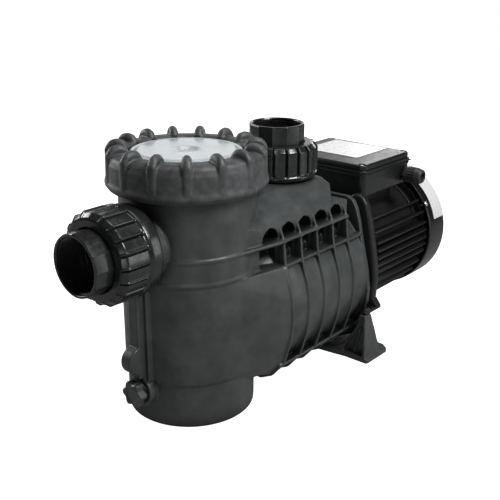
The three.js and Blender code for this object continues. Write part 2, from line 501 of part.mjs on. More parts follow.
function addTerminalBox() {
  const [x0, x1, w] = [along(BOX.front), along(BOX.back), BOX.wall];
  const shell = cut(box(x0, x1, -BOX.half, BOX.half, BOX.low, BOX.top), [
    box(x0 + w, x1 - w, -BOX.half + w, BOX.half - w, BOX.low + w, BOX.top + 1)]);
  const spots = LID_SCREWS.map(([dx, side]) => [x0 + dx, side * (BOX.half - 8)]);
  const posts = spots.map(([x, y]) => disc(6.5, BOX.top - 5, BOX.top, "z", [x, y, 0], SMALL));
  const holes = spots.map(([x, y]) => disc(2.6, BOX.top - 6, BOX.top + 1, "z", [x, y, 0], SMALL));
  const leads = disc(BOX.leadHole, BOX.low - 1, BOX.low + w + 1, "z", [along(BOX.leadX), 0, 0], MEDIUM);
  const glandHole = solid(new THREE.CylinderGeometry(7.4, 7.4, 10, COARSE)
    .translate(along(GLAND.x), -BOX.half, GLAND.z));
  piece("terminal_box", cut(join([shell, ...posts]), [...holes, leads, glandHole]), PAINTED());

  const lidHoles = spots.map(([x, y]) => join([disc(2.6, BOX.top, 240, "z", [x, y, 0], SMALL),
    disc(4.2, 228, 240, "z", [x, y, 0], SMALL)]));
  const hollow = slabZ([[x0 + 18, -BOX.half + w], [x1 - 18, -BOX.half + w], [x1 - w, -BOX.half + 18],
    [x1 - w, BOX.half - 18], [x1 - 18, BOX.half - w], [x0 + 18, BOX.half - w], [x0 + w, BOX.half - 18],
    [x0 + w, -BOX.half + 18]], BOX.top, BOX.lidTop - w);
  piece("terminal_box_lid", cut(box(x0, x1, -BOX.half, BOX.half, BOX.top + 1.6, BOX.lidTop),
    [hollow, ...lidHoles]), PAINTED());
  const gasketHoles = spots.map(([x, y]) => disc(7, BOX.top, 240, "z", [x, y, 0], SMALL));
  piece("terminal_box_gasket", cut(box(x0 + 0.5, x1 - 0.5, -BOX.half + 0.5, BOX.half - 0.5, BOX.top + GAP,
    BOX.top + 1.3), [box(x0 + w, x1 - w, -BOX.half + w, BOX.half - w, BOX.top, 240), ...gasketHoles]),
  RUBBER());
  spots.forEach(([x, y], i) => piece(`terminal_lid_screw_${i + 1}`, join([
    disc(1.9, BOX.top - 4, 229, "z", [x, y, 0], SMALL),
    disc(3.8, 228.4, BOX.lidTop - 0.5, "z", [x, y, 0], SMALL)]), STEEL()));
  piece("terminal_block", box(along(250), along(282), -45, -15, BOX.low + w + GAP, 210),
    plastic(0xe6e0cf, 0.5));
  piece("run_capacitor", solid(new THREE.CylinderGeometry(14, 14, 78, COARSE).rotateZ(Math.PI / 2)
    .translate(along(BOX.leadX), 34, BOX.low + w + 14.5)), metal(0xc8cacc, 0.3));
  piece("terminal_lid_label", box(along(264), along(335), -33, 47, BOX.lidTop + GAP, BOX.lidTop + 0.7),
    plastic(0xf2f2f0, 0.4));
}

function addCableGland() {
  const at = [0, 0, 0];
  const put = (body) => body.rotate([90, 0, 0]).translate([along(GLAND.x), -BOX.half, GLAND.z]);
  const body = cut(join([disc(GLAND.stem, -7, 12, "z", at, COARSE),
    disc(GLAND.hexagon, GAP, 6, "z", at, SMALL), disc(8, 5, 16, "z", at, COARSE)]),
  [disc(GLAND.bore, -8, 20, "z", at, MEDIUM)]);
  const nut = turned([[8.6, 6.4], [GLAND.hexagon, 6.4], [GLAND.hexagon, 17], [8, 25], [GLAND.bore, 26],
    [GLAND.bore, 19], [8.6, 17]], "z", at, COARSE);
  piece("cable_gland_body", put(body), plastic(0x1b1c1e, 0.5));
  piece("cable_gland_nut", put(nut), plastic(0x1b1c1e, 0.5));
  const inner = cut(disc(8.9, 3.4, 7, "z", at, SMALL), [disc(GLAND.stem + GAP, 0, 10, "z", at, COARSE)]);
  piece("cable_gland_locknut", inner.rotate([-90, 0, 0]).translate([along(GLAND.x), -BOX.half, GLAND.z]),
    plastic(0x1b1c1e, 0.5));
}

addCasing();
addStrainer();
addUnions();
addDrainPlug();
addImpeller();
addBracket();
addStand();
addMotor();
addFan();
addTerminalBox();
addCableGland();

export default pump;
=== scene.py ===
import math

import bmesh
import bpy
from mathutils import Matrix, Vector


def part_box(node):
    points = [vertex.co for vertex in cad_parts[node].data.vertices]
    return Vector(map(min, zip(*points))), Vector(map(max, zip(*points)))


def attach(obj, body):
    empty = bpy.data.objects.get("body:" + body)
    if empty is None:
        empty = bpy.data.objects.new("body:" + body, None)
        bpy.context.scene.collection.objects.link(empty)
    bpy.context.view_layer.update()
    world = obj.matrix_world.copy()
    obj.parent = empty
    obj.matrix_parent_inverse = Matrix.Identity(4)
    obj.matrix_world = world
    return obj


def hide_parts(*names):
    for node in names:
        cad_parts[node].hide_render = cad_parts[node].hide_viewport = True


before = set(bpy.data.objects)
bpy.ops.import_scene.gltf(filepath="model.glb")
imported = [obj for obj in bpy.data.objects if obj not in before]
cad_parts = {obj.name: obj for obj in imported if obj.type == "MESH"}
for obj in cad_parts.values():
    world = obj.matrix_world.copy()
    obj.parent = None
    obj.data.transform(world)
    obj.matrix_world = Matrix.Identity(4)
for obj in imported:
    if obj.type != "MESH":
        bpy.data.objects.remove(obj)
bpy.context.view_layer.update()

# Visible surfaces of a pool pump.  Lengths in this script are millimetres in the pump's own
# axes: x runs back from the axis of the strainer pot, y across, z up from the ground.
MM = 0.001
ALL_ROUND = 2 * math.pi


# ------ places read from the frame
LID_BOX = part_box("clear_lid")
POT_X = (LID_BOX[0].x + LID_BOX[1].x) / 2 / MM


def corner(node, which):
    """Lowest (0) or highest (1) corner of a CAD node, in millimetres from the pot's axis."""
    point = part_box(node)[which] / MM
    return Vector((point.x - POT_X, point.y, point.z))


def middle(node):
    return (corner(node, 0) + corner(node, 1)) / 2


SHAFT_Z = middle("motor_shaft").z
SUCTION_Z = middle("suction_union_socket").z
SUCTION_END = corner("suction_union_socket", 0).x
DISCHARGE_X = middle("discharge_union_socket").x
DISCHARGE_END = corner("discharge_union_socket", 1).z
NUT_LENGTH = corner("discharge_union_nut", 1).z - corner("discharge_union_nut", 0).z
UNION_LENGTH = DISCHARGE_END - corner("discharge_union_nut", 0).z
SKIRT_BACK = corner("suction_union_nut", 1).x + 13
DRAIN_Z = middle("drain_plug").z
RING_LOW = corner("lid_lock_ring", 0).z
RING_HIGH = corner("lid_lock_ring", 1).z
FLANGE_BACK = corner("pump_casing", 1).x
FLANGE_FRONT = FLANGE_BACK - 7
BRACKET_FRONT = FLANGE_BACK + 2
BRACKET_BACK = BRACKET_FRONT + 11
MOTOR_FRONT = corner("motor_housing", 0).x
MOTOR_BACK = corner("motor_housing", 1).x
COVER_FRONT = corner("fan_cover", 0).x
COVER_BACK = corner("fan_cover", 1).x
COVER_RADIUS = corner("fan_cover", 1).y
BOX_LOW = corner("terminal_box", 0)
BOX_HIGH = corner("terminal_box", 1)
BOX_TOP = corner("terminal_box_lid", 1).z
GLAND = middle("cable_gland_nut")
STAND_FRONT = corner("motor_stand", 0).x + 8
STAND_BACK = corner("motor_stand", 1).x
STAND_BOLT_X = middle("stand_bolt_1").x


# ------ outlines
def rounded(points, closed=True):
    """An outline whose corners are arcs: a point is (u, v) or (u, v, radius)."""
    result = []
    count = len(points)
    for i, point in enumerate(points):
        here = Vector(point[:2])
        radius = point[2] if len(point) > 2 else 0
        if radius <= 0 or (not closed and i in (0, count - 1)):
            result.append(here)
            continue
        to_last = Vector(points[i - 1][:2]) - here
        to_next = Vector(points[(i + 1) % count][:2]) - here
        half = to_last.angle(to_next) / 2
        if half > math.pi / 2 - 0.02:
            result.append(here)
            continue
        reach = min(radius / math.tan(half), 0.48 * to_last.length, 0.48 * to_next.length)
        inward = (to_last.normalized() + to_next.normalized()).normalized()
        centre = here + inward * (reach * math.tan(half) / math.sin(half))
        start = here + to_last.normalized() * reach - centre
        end = here + to_next.normalized() * reach - centre
        sweep = math.atan2(start.x * end.y - start.y * end.x, start.dot(end))
        steps = max(2, math.ceil(abs(sweep) / 0.2))
        for k in range(steps + 1):
            turn = sweep * k / steps
            result.append(centre + Matrix.Rotation(turn, 2) @ start)
    return result


def mirrored(half):
    """A whole outline from the points of its +y half, which starts and ends on the mid-plane."""
    other = [(-p[0],) + tuple(p[1:]) for p in reversed(half) if abs(p[0]) > 1e-6]
    return list(half) + other


def sided(points, side):
    """An outline's points on the +y (1) or -y (-1) side, each point's first number being y."""
    return [(side * p[0],) + tuple(p[1:]) for p in points]


def rectangle(u0, u1, v0, v1, radius=0):
    return rounded([(u0, v0, radius), (u1, v0, radius), (u1, v1, radius), (u0, v1, radius)])


def arc(centre, radius, first, last, steps):
    """Points along an arc, between two angles in degrees."""
    turns = [math.radians(first + (last - first) * k / steps) for k in range(steps + 1)]
    return [(centre[0] + radius * math.cos(t), centre[1] + radius * math.sin(t)) for t in turns]


# ------ solids
# Each axis turns (across, across, along) into x, y and z.
AXES = {
    "x": lambda a, b, h: (h, a, b),
    "-x": lambda a, b, h: (-h, -a, b),
    "-y": lambda a, b, h: (a, -h, b),
    "y": lambda a, b, h: (a, h, b),
    "z": lambda a, b, h: (a, b, h),
}


def in_scene(name, data):
    """A new object, linked to the scene."""
    made = bpy.data.objects.new(name, data)
    bpy.context.collection.objects.link(made)
    return made


def to_object(bm):
    """The finished mesh as an object, moved from the pump's millimetres to the frame's metres."""
    bmesh.ops.recalc_face_normals(bm, faces=bm.faces)
    place = Matrix.Translation((POT_X * MM, 0, 0)) @ Matrix.Scale(MM, 4)
    bmesh.ops.transform(bm, matrix=place, verts=bm.verts)
    mesh = bpy.data.meshes.new("solid")
    bm.to_mesh(mesh)
    bm.free()
    return in_scene("solid", mesh)


def lathe(profile, axis="z", at=(0, 0, 0), facets=96, closed=True, reshape=None):
    """A profile of (radius, height) points turned about an axis through at.
    reshape(point number, radius, angle) gives the radius there, for flutes and flats."""
    bm = bmesh.new()
    rings = []
    for i, (radius, height) in enumerate(profile):
        count = 1 if radius < 1e-6 else facets
        ring = []
        for k in range(count):
            angle = ALL_ROUND * k / facets
            r = reshape(i, radius, angle) if reshape else radius
            spot = AXES[axis](r * math.cos(angle), r * math.sin(angle), height)
            ring.append(bm.verts.new(Vector(spot) + Vector(at)))
        rings.append(ring)
    pairs = list(zip(rings, rings[1:]))
    if closed:
        pairs.append((rings[-1], rings[0]))
    for one, two in pairs:
        for k in range(facets):
            loop = [one[k % len(one)], one[(k + 1) % len(one)],
                    two[(k + 1) % len(two)], two[k % len(two)]]
            corners = list(dict.fromkeys(loop))
            if len(corners) > 2:
                bm.faces.new(corners)
    return to_object(bm)


def disc(radius, low, high, axis, at, facets=64, edge=0.0):
    """A round plug with rounded edges."""
    profile = rounded([(0, low), (radius, low, edge), (radius, high, edge), (0, high)], False)
    return lathe(profile, axis, at, facets, closed=False)


def tube(inner, outer, low, high, axis, at, facets=96, edge=0.0):
    """A round sleeve with rounded edges."""
    corners = [(inner, low, edge), (outer, low, edge), (outer, high, edge), (inner, high, edge)]
    return lathe(rounded(corners), axis, at, facets)


def join_rings(bm, one, two):
    """A band of faces between two rings with the same number of points."""
    for i in range(len(one)):
        j = (i + 1) % len(one)
        bm.faces.new([one[i], one[j], two[j], two[i]])


def prism(outline, axis, low, high, at=(0, 0, 0)):
    """A slab: the outline is in the two directions across its axis."""
    bm = bmesh.new()
    ends = []
    for height in (low, high):
        spots = [Vector(AXES[axis](p[0], p[1], height)) + Vector(at) for p in outline]
        ends.append([bm.verts.new(spot) for spot in spots])
    bm.faces.new(ends[0])
    bm.faces.new(ends[1])
    join_rings(bm, *ends)
    return to_object(bm)


def pillow(outline, axis, half, pull, centre):
    """A slab with domed edges: towards its two faces the outline is drawn in to a centre."""
    bm = bmesh.new()
    rings = []
    for k in range(13):
        turn = math.radians(15 * k - 90)
        scale = 1 - pull * (1 - math.cos(turn))
        spots = [Vector(centre) + (Vector(p) - Vector(centre)) * scale for p in outline]
        rings.append([bm.verts.new(AXES[axis](p.x, p.y, half * math.sin(turn))) for p in spots])
    bm.faces.new(rings[0])
    bm.faces.new(rings[-1])
    for one, two in zip(rings, rings[1:]):
        join_rings(bm, one, two)
    return to_object(bm)


def block(x0, x1, y0, y1, z0, z1):
    return prism(rectangle(x0, x1, y0, y1), "z", z0, z1)


def turned_copies(solid, count, axis, at, first=0.0):
    """Copies of a solid round an axis, as one mesh; the solid itself is used up."""
    about = Matrix.Translation(Vector(((at[0] + POT_X) * MM, at[1] * MM, at[2] * MM)))
    bm = bmesh.new()
    for k in range(count):
        turn = Matrix.Rotation(math.radians(first) + ALL_ROUND * k / count, 4, axis.upper())
        part = solid.data.copy()
        part.transform(about @ turn @ about.inverted())
        bm.from_mesh(part)
        bpy.data.meshes.remove(part)
    bm.to_mesh(solid.data)
    bm.free()
    return solid


def discard(solid):
    mesh = solid.data
    bpy.data.objects.remove(solid)
    bpy.data.meshes.remove(mesh)


def settle(solid):
    """Applies a solid's modifiers to its mesh."""
    graph = bpy.context.evaluated_depsgraph_get()
    mesh = bpy.data.meshes.new_from_object(solid.evaluated_get(graph))
    old = solid.data
    solid.modifiers.clear()
    solid.data = mesh
    bpy.data.meshes.remove(old)
    return solid


def combine(solid, tools, operation="DIFFERENCE"):
    """Cuts the tools from a solid, or joins them to it; the tools are used up."""
    for tool in tools:
        cut = solid.modifiers.new("cut", "BOOLEAN")
        cut.operation = operation
        cut.solver = "MANIFOLD"
        cut.object = tool
    settle(solid)
    for tool in tools:
        discard(tool)
    return solid


def gather(solids):
    """Several solids in one mesh, overlapping as they stand."""
    bm = bmesh.new()
    for solid in solids:
        bm.from_mesh(solid.data)
    first = solids[0]
    bm.to_mesh(first.data)
    bm.free()
    for solid in solids[1:]:
        discard(solid)
    return first


def moulded_from(solids, voxel, passes):
    """Overlapping solids melted into one moulding with small fillets."""
    body = gather(solids)
    melt = body.modifiers.new("melt", "REMESH")
    melt.mode = "VOXEL"
    melt.voxel_size = voxel * MM
    soften = body.modifiers.new("soften", "SMOOTH")
    soften.factor = 0.5
    soften.iterations = passes
    return settle(body)


def add_bevel(solid, width, segments, angle):
    """Rounds the edges that are sharper than an angle."""
    bevel = solid.modifiers.new("edge", "BEVEL")
    bevel.width = width * MM
    bevel.segments = segments
    bevel.limit_method = "ANGLE"
    bevel.angle_limit = math.radians(angle)


def bevelled(solid, width, segments=3, angle=35):
    add_bevel(solid, width, segments, angle)
    return settle(solid)


def show(solid, name, material, body, slot, *nodes, crease=38):
    """Names a finished solid, gives it its material and ties it to the frame."""
    solid.name = name
    solid.data.name = name
    solid.data.materials.clear()
    solid.data.materials.append(material)
    solid.data.shade_smooth()
    solid.data.set_sharp_from_angle(angle=math.radians(crease))
    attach(solid, body)
    if nodes:
        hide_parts(*nodes)
    return solid


# ------ materials
def start_material(name, metallic=0.0):
    """A new material with its node tree, its shader and the object's own coordinates."""
    material = bpy.data.materials.new(name)
    material.use_nodes = True
    tree = material.node_tree
    shader = tree.nodes["Principled BSDF"]
    shader.inputs["Metallic"].default_value = metallic
    coords = tree.nodes.new("ShaderNodeTexCoord")
    return material, tree, shader, coords.outputs["Object"]


def noise(tree, where, scale, detail=3.0, roughness=0.55, stretch=None):
    """A noise texture, drawn out along an axis where stretch is given."""
    node = tree.nodes.new("ShaderNodeTexNoise")
    node.inputs["Scale"].default_value = scale
    node.inputs["Detail"].default_value = detail
    node.inputs["Roughness"].default_value = roughness
    if stretch:
        mapping = tree.nodes.new("ShaderNodeMapping")
        mapping.inputs["Scale"].default_value = stretch
        tree.links.new(where, mapping.inputs["Vector"])
        where = mapping.outputs["Vector"]
    tree.links.new(where, node.inputs["Vector"])
    return node.outputs["Fac"]


def spread(tree, value, low_in, high_in, low_out, high_out):
    """Maps one range of values on another."""
    node = tree.nodes.new("ShaderNodeMapRange")
    for socket, number in zip(("From Min", "From Max", "To Min", "To Max"),
                              (low_in, high_in, low_out, high_out)):
        node.inputs[socket].default_value = number
    tree.links.new(value, node.inputs["Value"])
    return node.outputs["Result"]


def blend_colours(tree, value, one, two):
    node = tree.nodes.new("ShaderNodeMix")
    node.data_type = "RGBA"
    node.inputs["A"].default_value = (*one, 1)
    node.inputs["B"].default_value = (*two, 1)
    tree.links.new(value, node.inputs["Factor"])
    return node.outputs["Result"]


def bump(tree, shader, height, strength, distance, under=None):
    """Surface relief of a depth in millimetres, on top of another relief if there is one."""
    node = tree.nodes.new("ShaderNodeBump")
    node.inputs["Strength"].default_value = strength
    node.inputs["Distance"].default_value = distance * MM
    tree.links.new(height, node.inputs["Height"])
    if under:
        tree.links.new(under, node.inputs["Normal"])
    tree.links.new(node.outputs["Normal"], shader.inputs["Normal"])
    return node.outputs["Normal"]


# Painted shade: the near-black colour laid into inner corners, creases and recesses where shade falls.
PAINTED_SHADE_COLOUR = (0.006, 0.0065, 0.0065)
RULE_COLOUR = (0.25, 0.26, 0.28)


def painted_crease_shade(tree, tint, reach):
    """A plastic's colour with painted shade: nearly black within a reach in millimetres of an inner
    corner, where shade falls.
    """
    shelter = tree.nodes.new("ShaderNodeAmbientOcclusion")
    shelter.samples = 8
    shelter.inputs["Distance"].default_value = reach * MM
    openness = spread(tree, shelter.outputs["AO"], 0.35, 0.85, 0.0, 1.0)
    result = blend_colours(tree, openness, PAINTED_SHADE_COLOUR, PAINTED_SHADE_COLOUR)
    tree.links.new(tint, result.node.inputs["B"])
    return result


def moulded_plastic(name, dark, light, roughness, mottle=45, grain=900, relief=0.25, coat=0.0,
                    crease=0):
    """Moulded plastic: cloudy colour, uneven sheen and a fine eroded grain; with crease, painted shade
    in its inner corners.
    """
    material, tree, shader, where = start_material(name)
    cloud = spread(tree, noise(tree, where, mottle, 6.0, 0.62), 0.32, 0.68, 0.0, 1.0)
    tint = blend_colours(tree, cloud, dark, light)
    # Painted shade: nearly black within crease millimetres of an inner corner.
    if crease:
        tint = painted_crease_shade(tree, tint, crease)
    tree.links.new(tint, shader.inputs["Base Color"])
    sheen = spread(tree, noise(tree, where, mottle * 3, 4.0), 0.3, 0.7, *roughness)
    tree.links.new(sheen, shader.inputs["Roughness"])
    wave = bump(tree, shader, noise(tree, where, mottle * 1.6, 3.0), relief * 0.5, 0.25)
    bump(tree, shader, noise(tree, where, grain, 2.0), relief, 0.06, wave)
    shader.inputs["Coat Weight"].default_value = coat
    shader.inputs["Coat Roughness"].default_value = 0.08
    return material


def brushed_metal(name, dark, light, roughness, stretch=(1, 1, 1), scale=500):
    """Metal whose colour and gloss vary with a fine grain, drawn out by stretch."""
    material, tree, shader, where = start_material(name, 1.0)
    grain = noise(tree, where, scale, 3.0, 0.6, stretch)
    tint = blend_colours(tree, spread(tree, grain, 0.3, 0.7, 0, 1), dark, light)
    tree.links.new(tint, shader.inputs["Base Color"])
    tree.links.new(spread(tree, grain, 0.3, 0.7, *roughness), shader.inputs["Roughness"])
    bump(tree, shader, grain, 0.15, 0.05)
    return material


def milky_window(name):
    """Clear polycarbonate gone milky: a little light passes, the face is glossy."""
    material, tree, shader, where = start_material(name)
    haze = spread(tree, noise(tree, where, 60, 5.0), 0.3, 0.7, 0.0, 1.0)
    tint = blend_colours(tree, haze, (0.38, 0.41, 0.43), (0.47, 0.50, 0.52))
    tree.links.new(tint, shader.inputs["Base Color"])
    tree.links.new(spread(tree, haze, 0, 1, 0.18, 0.3), shader.inputs["Roughness"])
    shader.inputs["Transmission Weight"].default_value = 0.15
    shader.inputs["IOR"].default_value = 1.5
    shader.inputs["Coat Weight"].default_value = 0.2
    bump(tree, shader, noise(tree, where, 90, 2.0), 0.08, 0.1)
    return material


def label_film(name, along, tone, rows):
    """A blank pale label with faint grey rules."""
    material, tree, shader, where = start_material(name)
    paper = noise(tree, where, 300, 3.0)
    tint = blend_colours(tree, paper, (tone, tone, tone), (tone + 0.06, tone + 0.06, tone + 0.055))
    wave = tree.nodes.new("ShaderNodeTexWave")
    wave.bands_direction = along
    wave.inputs["Scale"].default_value = rows
    tree.links.new(where, wave.inputs["Vector"])
    line = spread(tree, wave.outputs["Fac"], 0.93, 0.99, 0.0, 0.28)
    ruled = blend_colours(tree, line, RULE_COLOUR, RULE_COLOUR)
    tree.links.new(tint, ruled.node.inputs["A"])
    tree.links.new(ruled, shader.inputs["Base Color"])
    tree.links.new(spread(tree, paper, 0.3, 0.7, 0.25, 0.38), shader.inputs["Roughness"])
    shader.inputs["Coat Weight"].default_value = 0.1
    return material


# The casing and the ring carry painted shade in their creases and recesses (crease reach in
# millimetres).
CASING = moulded_plastic("casing_plastic", (0.036, 0.040, 0.040), (0.068, 0.073, 0.073), (0.34, 0.50),
                         mottle=34, relief=0.45, crease=22)
RING = moulded_plastic("ring_plastic", (0.040, 0.043, 0.044), (0.085, 0.090, 0.091), (0.44, 0.62),
                       mottle=130, relief=0.5, crease=10)
BLACK = moulded_plastic("bracket_plastic", (0.007, 0.008, 0.008), (0.013, 0.014, 0.014),
                        (0.38, 0.52), mottle=34)
GLOSS = moulded_plastic("union_plastic", (0.014, 0.015, 0.015), (0.026, 0.028, 0.028), (0.18, 0.30),
                        mottle=70, grain=500, relief=0.05, coat=0.12)
COVER = moulded_plastic("fan_cover_plastic", (0.004, 0.004, 0.005), (0.008, 0.008, 0.009),
                        (0.28, 0.38), mottle=60, grain=600, relief=0.06, coat=0.1)
PAINT = moulded_plastic("motor_paint", (0.003, 0.003, 0.003), (0.007, 0.007, 0.007), (0.42, 0.56),
                        mottle=110, grain=700, relief=0.3)
TERMINAL = moulded_plastic("terminal_box_plastic", (0.007, 0.008, 0.008), (0.013, 0.014, 0.015),
                           (0.30, 0.42), mottle=60, grain=1100)
STAND = moulded_plastic("stand_plastic", (0.046, 0.048, 0.049), (0.066, 0.069, 0.070), (0.42, 0.55))
NYLON = moulded_plastic("gland_nylon", (0.030, 0.030, 0.032), (0.046, 0.046, 0.048), (0.35, 0.5))
RUBBER = moulded_plastic("seal_rubber", (0.008, 0.008, 0.008), (0.018, 0.018, 0.018), (0.6, 0.8),
                         relief=0.4)
BASKET = moulded_plastic("basket_plastic", (0.62, 0.63, 0.60), (0.74, 0.75, 0.72), (0.35, 0.5),
                         relief=0.1)
CERAMIC = moulded_plastic("seal_ceramic", (0.78, 0.75, 0.66), (0.88, 0.86, 0.78), (0.12, 0.2),
                          relief=0.05)
CREAM = moulded_plastic("terminal_block_plastic", (0.62, 0.58, 0.48), (0.72, 0.68, 0.56), (0.4, 0.5))
WINDOW = milky_window("lid_window")
ZINC = brushed_metal("zinc_plate", (0.46, 0.47, 0.48), (0.62, 0.63, 0.64), (0.25, 0.42))
BLACK_ZINC = brushed_metal("black_zinc", (0.06, 0.06, 0.065), (0.12, 0.12, 0.125), (0.35, 0.5))
STEEL = brushed_metal("ground_steel", (0.50, 0.50, 0.51), (0.66, 0.66, 0.67), (0.16, 0.3),
                      (8, 1, 1), 300)
LAMINATIONS = brushed_metal("laminations", (0.20, 0.20, 0.21), (0.42, 0.42, 0.43), (0.35, 0.5),
                            (12, 1, 1), 90)
COPPER = brushed_metal("copper_wire", (0.42, 0.15, 0.05), (0.70, 0.32, 0.14), (0.22, 0.4),
                       (1, 6, 6), 160)
CAN = brushed_metal("capacitor_can", (0.60, 0.61, 0.62), (0.76, 0.77, 0.78), (0.2, 0.35),
                    (1, 9, 9), 200)
LID_LABEL = label_film("lid_label_film", "Y", 0.50, 26)
COVER_LABEL = label_film("cover_label_film", "X", 0.52, 42)

# ------ pump casing
POT_RADIUS = 71.5
POT_BORE = 66
COLLAR_RADIUS = 76.5
COLLAR_TOP = 262
FOOT_RADIUS = 69.4
FOOT_TOP = 50
BARREL_RADIUS = 93
BARREL_Z = 103
CHAMBER_RADIUS = 78
PIPE_BORE = 31
DRAIN_BORE = 9.5
RIB_PLACES = (62, 91, 120, 150, 178)
RIB_THICK = 3.4
RAIL_HALF = 1.8
UPPER_RAIL_Z = 186
MIDDLE_RAIL_Z = 157
LOWER_RAIL_Z = 41
RIB_HALF = [(0, 13), (50, 14, 6), (66, 22, 8), (83, 42, 10), (87, 55), (92.6, 75, 30),
            (95.4, 99, 40), (94, 120, 40), (91, 134, 30), (86, 147, 30), (82, 165, 20),
            (80, 187, 10), (73, 202), (0, 202)]
FLANGE_HALF = [(0, 12), (50, 13, 6), (68, 24, 8), (87, 51, 20), (94.6, 72, 30), (95.8, 90, 30),
               (92, 114, 40), (84.5, 143, 40), (78, 173, 20), (73.5, 187, 10), (68.5, 196, 6),
               (60, 200, 6), (0, 200)]
BRACKET_HALF = [(0, 8), (50, 9, 6), (70, 20, 8), (90, 48, 20), (97, 72, 30), (99, 100, 30),
                (97, 122, 30), (93, 143, 30), (86.5, 174, 20), (81, 192, 5), (76, 198.5, 4),
                (70, 201.5, 4), (62, 201, 4), (56, 195.5, 4), (0, 195.5)]
WALL_HALF = 73.5
HUMP_HALF = [(0, 150), (70, 150), (70, 184), (WALL_HALF, 186), (WALL_HALF, 205, 8), (67, 212, 10),
             (55, 217.5, 8), (41, 227.5, 8), (20, 229.3), (0, 229.3)]
HUMP_TAIL = [(170, 240), (170, 230), (177, 226.5, 4), (184, 214, 5), (187.5, 200), (200, 200),
             (200, 240)]
REAR_TAPER = [(150, 78), (178, 54.5), (195, 40), (195, 95), (150, 95)]
CHEEK_BACK = 62
CHEEK_TOP = 157
RAIL_HALF_WIDTH = 81.5
RAIL_PLAN = [(0, 73), (50, RAIL_HALF_WIDTH, 40), (RIB_PLACES[-1] + 2, RAIL_HALF_WIDTH),
             (RIB_PLACES[-1] + 2, -RAIL_HALF_WIDTH), (50, -RAIL_HALF_WIDTH, 40), (0, -73)]
BAY_STARTS = (RIB_PLACES[0] - 29,) + RIB_PLACES[:-1]
BAYS = [(a + RIB_THICK / 2, b - RIB_THICK / 2) for a, b in zip(BAY_STARTS, RIB_PLACES)]


def casing_cheeks():
    """The wall that runs smoothly from the pot to the first rib of the barrel."""
    bm = bmesh.new()
    for z in (FOOT_TOP, CHEEK_TOP):
        for spot in arc((0, 0), POT_RADIUS, 0, 360, 120):
            bm.verts.new((spot[0], spot[1], z))
    for spot in rounded(mirrored(RIB_HALF)):
        side = math.copysign(1, spot.x) if abs(spot.x) > 2 else 0
        bm.verts.new((CHEEK_BACK, spot.x - 2 * side, spot.y + 2))
    hull = bmesh.ops.convex_hull(bm, input=bm.verts)
    loose = [v for v in hull["geom_interior"] if isinstance(v, bmesh.types.BMVert)]
    bmesh.ops.delete(bm, geom=loose, context="VERTS")
    return combine(to_object(bm), [block(-90, 90, -100, 100, CHEEK_TOP, 250)])


def casing_pot():
    """The strainer pot: a slightly narrower foot, a collar under the ring and the rails' belt."""
    profile = [(0, 0), (FOOT_RADIUS, 0, 2), (FOOT_RADIUS, FOOT_TOP), (POT_RADIUS, FOOT_TOP, 1),
               (POT_RADIUS, RING_LOW + 1.5), (COLLAR_RADIUS, RING_LOW + 5),
               (COLLAR_RADIUS, COLLAR_TOP), (0, COLLAR_TOP)]
    pot = lathe(rounded(profile, False), facets=180, closed=False)
    belt_low = MIDDLE_RAIL_Z + 4
    bands = [tube(60, POT_RADIUS + 1.7, z - 2, z + 2, "z", (0, 0, 0), 180, 1.2)
             for z in (UPPER_RAIL_Z, belt_low)]
    belt = tube(60, POT_RADIUS + 0.7, belt_low, UPPER_RAIL_Z, "z", (0, 0, 0), 180)
    return [pot, belt, *bands]


def casing_pockets():
    """Deep cells between the two upper rails, one in each bay between the ribs."""
    cells = []
    for start, end in BAYS:
        for side in (1, -1):
            y0, y1 = sorted((side * 67, side * 100))
            cells.append(block(start, end, y0, y1, MIDDLE_RAIL_Z + 2, UPPER_RAIL_Z - 2))
    return cells


def casing_barrel():
    """The ribbed barrel over the pump chamber, with its three rails and its rear flange."""
    profile = [(0, 0), (64, 0), (73, 20, 60), (82, 42, 80), (89, 60, 60), (BARREL_RADIUS, 78, 60),
               (BARREL_RADIUS, FLANGE_FRONT), (0, FLANGE_FRONT)]
    barrel = lathe(rounded(profile, False), "x", (0, 0, BARREL_Z), 180, closed=False)
    ribs = [prism(rounded(mirrored(RIB_HALF)), "x", x - RIB_THICK / 2, x + RIB_THICK / 2)
            for x in RIB_PLACES]
    reach = FLANGE_FRONT + 1
    long_plan = RAIL_PLAN[:2] + [(reach, 82), (reach, -82)] + RAIL_PLAN[-2:]
    rails = [prism(rounded(RAIL_PLAN), "z", UPPER_RAIL_Z - RAIL_HALF, UPPER_RAIL_Z + RAIL_HALF),
             prism(rounded(long_plan), "z", MIDDLE_RAIL_Z - RAIL_HALF, MIDDLE_RAIL_Z + RAIL_HALF),
             block(56, reach, -82, 82, LOWER_RAIL_Z - 2, LOWER_RAIL_Z + 2)]
    flange = prism(rounded(mirrored(FLANGE_HALF)), "x", FLANGE_FRONT, FLANGE_BACK)
    return [combine(barrel, casing_pockets()), *ribs, *rails, flange]


def bay_arch(start, end, side):
    """The cutter of one arched recess above the upper rail, open down to the middle rail."""
    centre = (start + end) / 2
    half = (end - start) / 2
    turns = [math.pi * k / 16 for k in range(17)]
    top = [(centre - 1.5 + half * math.cos(t), UPPER_RAIL_Z + 1.5 + 14.5 * math.sin(t) ** 0.8)
           for t in turns]
    low = [(centre - half, MIDDLE_RAIL_Z - 10), (centre + half, MIDDLE_RAIL_Z - 10)]
    return prism(top + low, "y", *sorted((side * 58, side * 100)))


def casing_hump():
    """The hump that carries the discharge pipe, tapered at both ends, with arched recesses."""
    hump = prism(rounded(mirrored(HUMP_HALF)), "x", 3, 187)
    tapers = []
    for side in (1, -1):
        front = [(0, side * 68), (30, side * WALL_HALF), (30, side * 95), (0, side * 95)]
        tapers.append(prism(front, "z", 140, 240))
        tapers.append(prism([(x, side * y) for x, y in REAR_TAPER], "z", 203.5, 240))
    combine(hump, [prism(rounded(HUMP_TAIL), "y", -95, 95), *tapers])
    return [combine(hump, [bay_arch(*bay, side) for bay in BAYS for side in (1, -1)])]


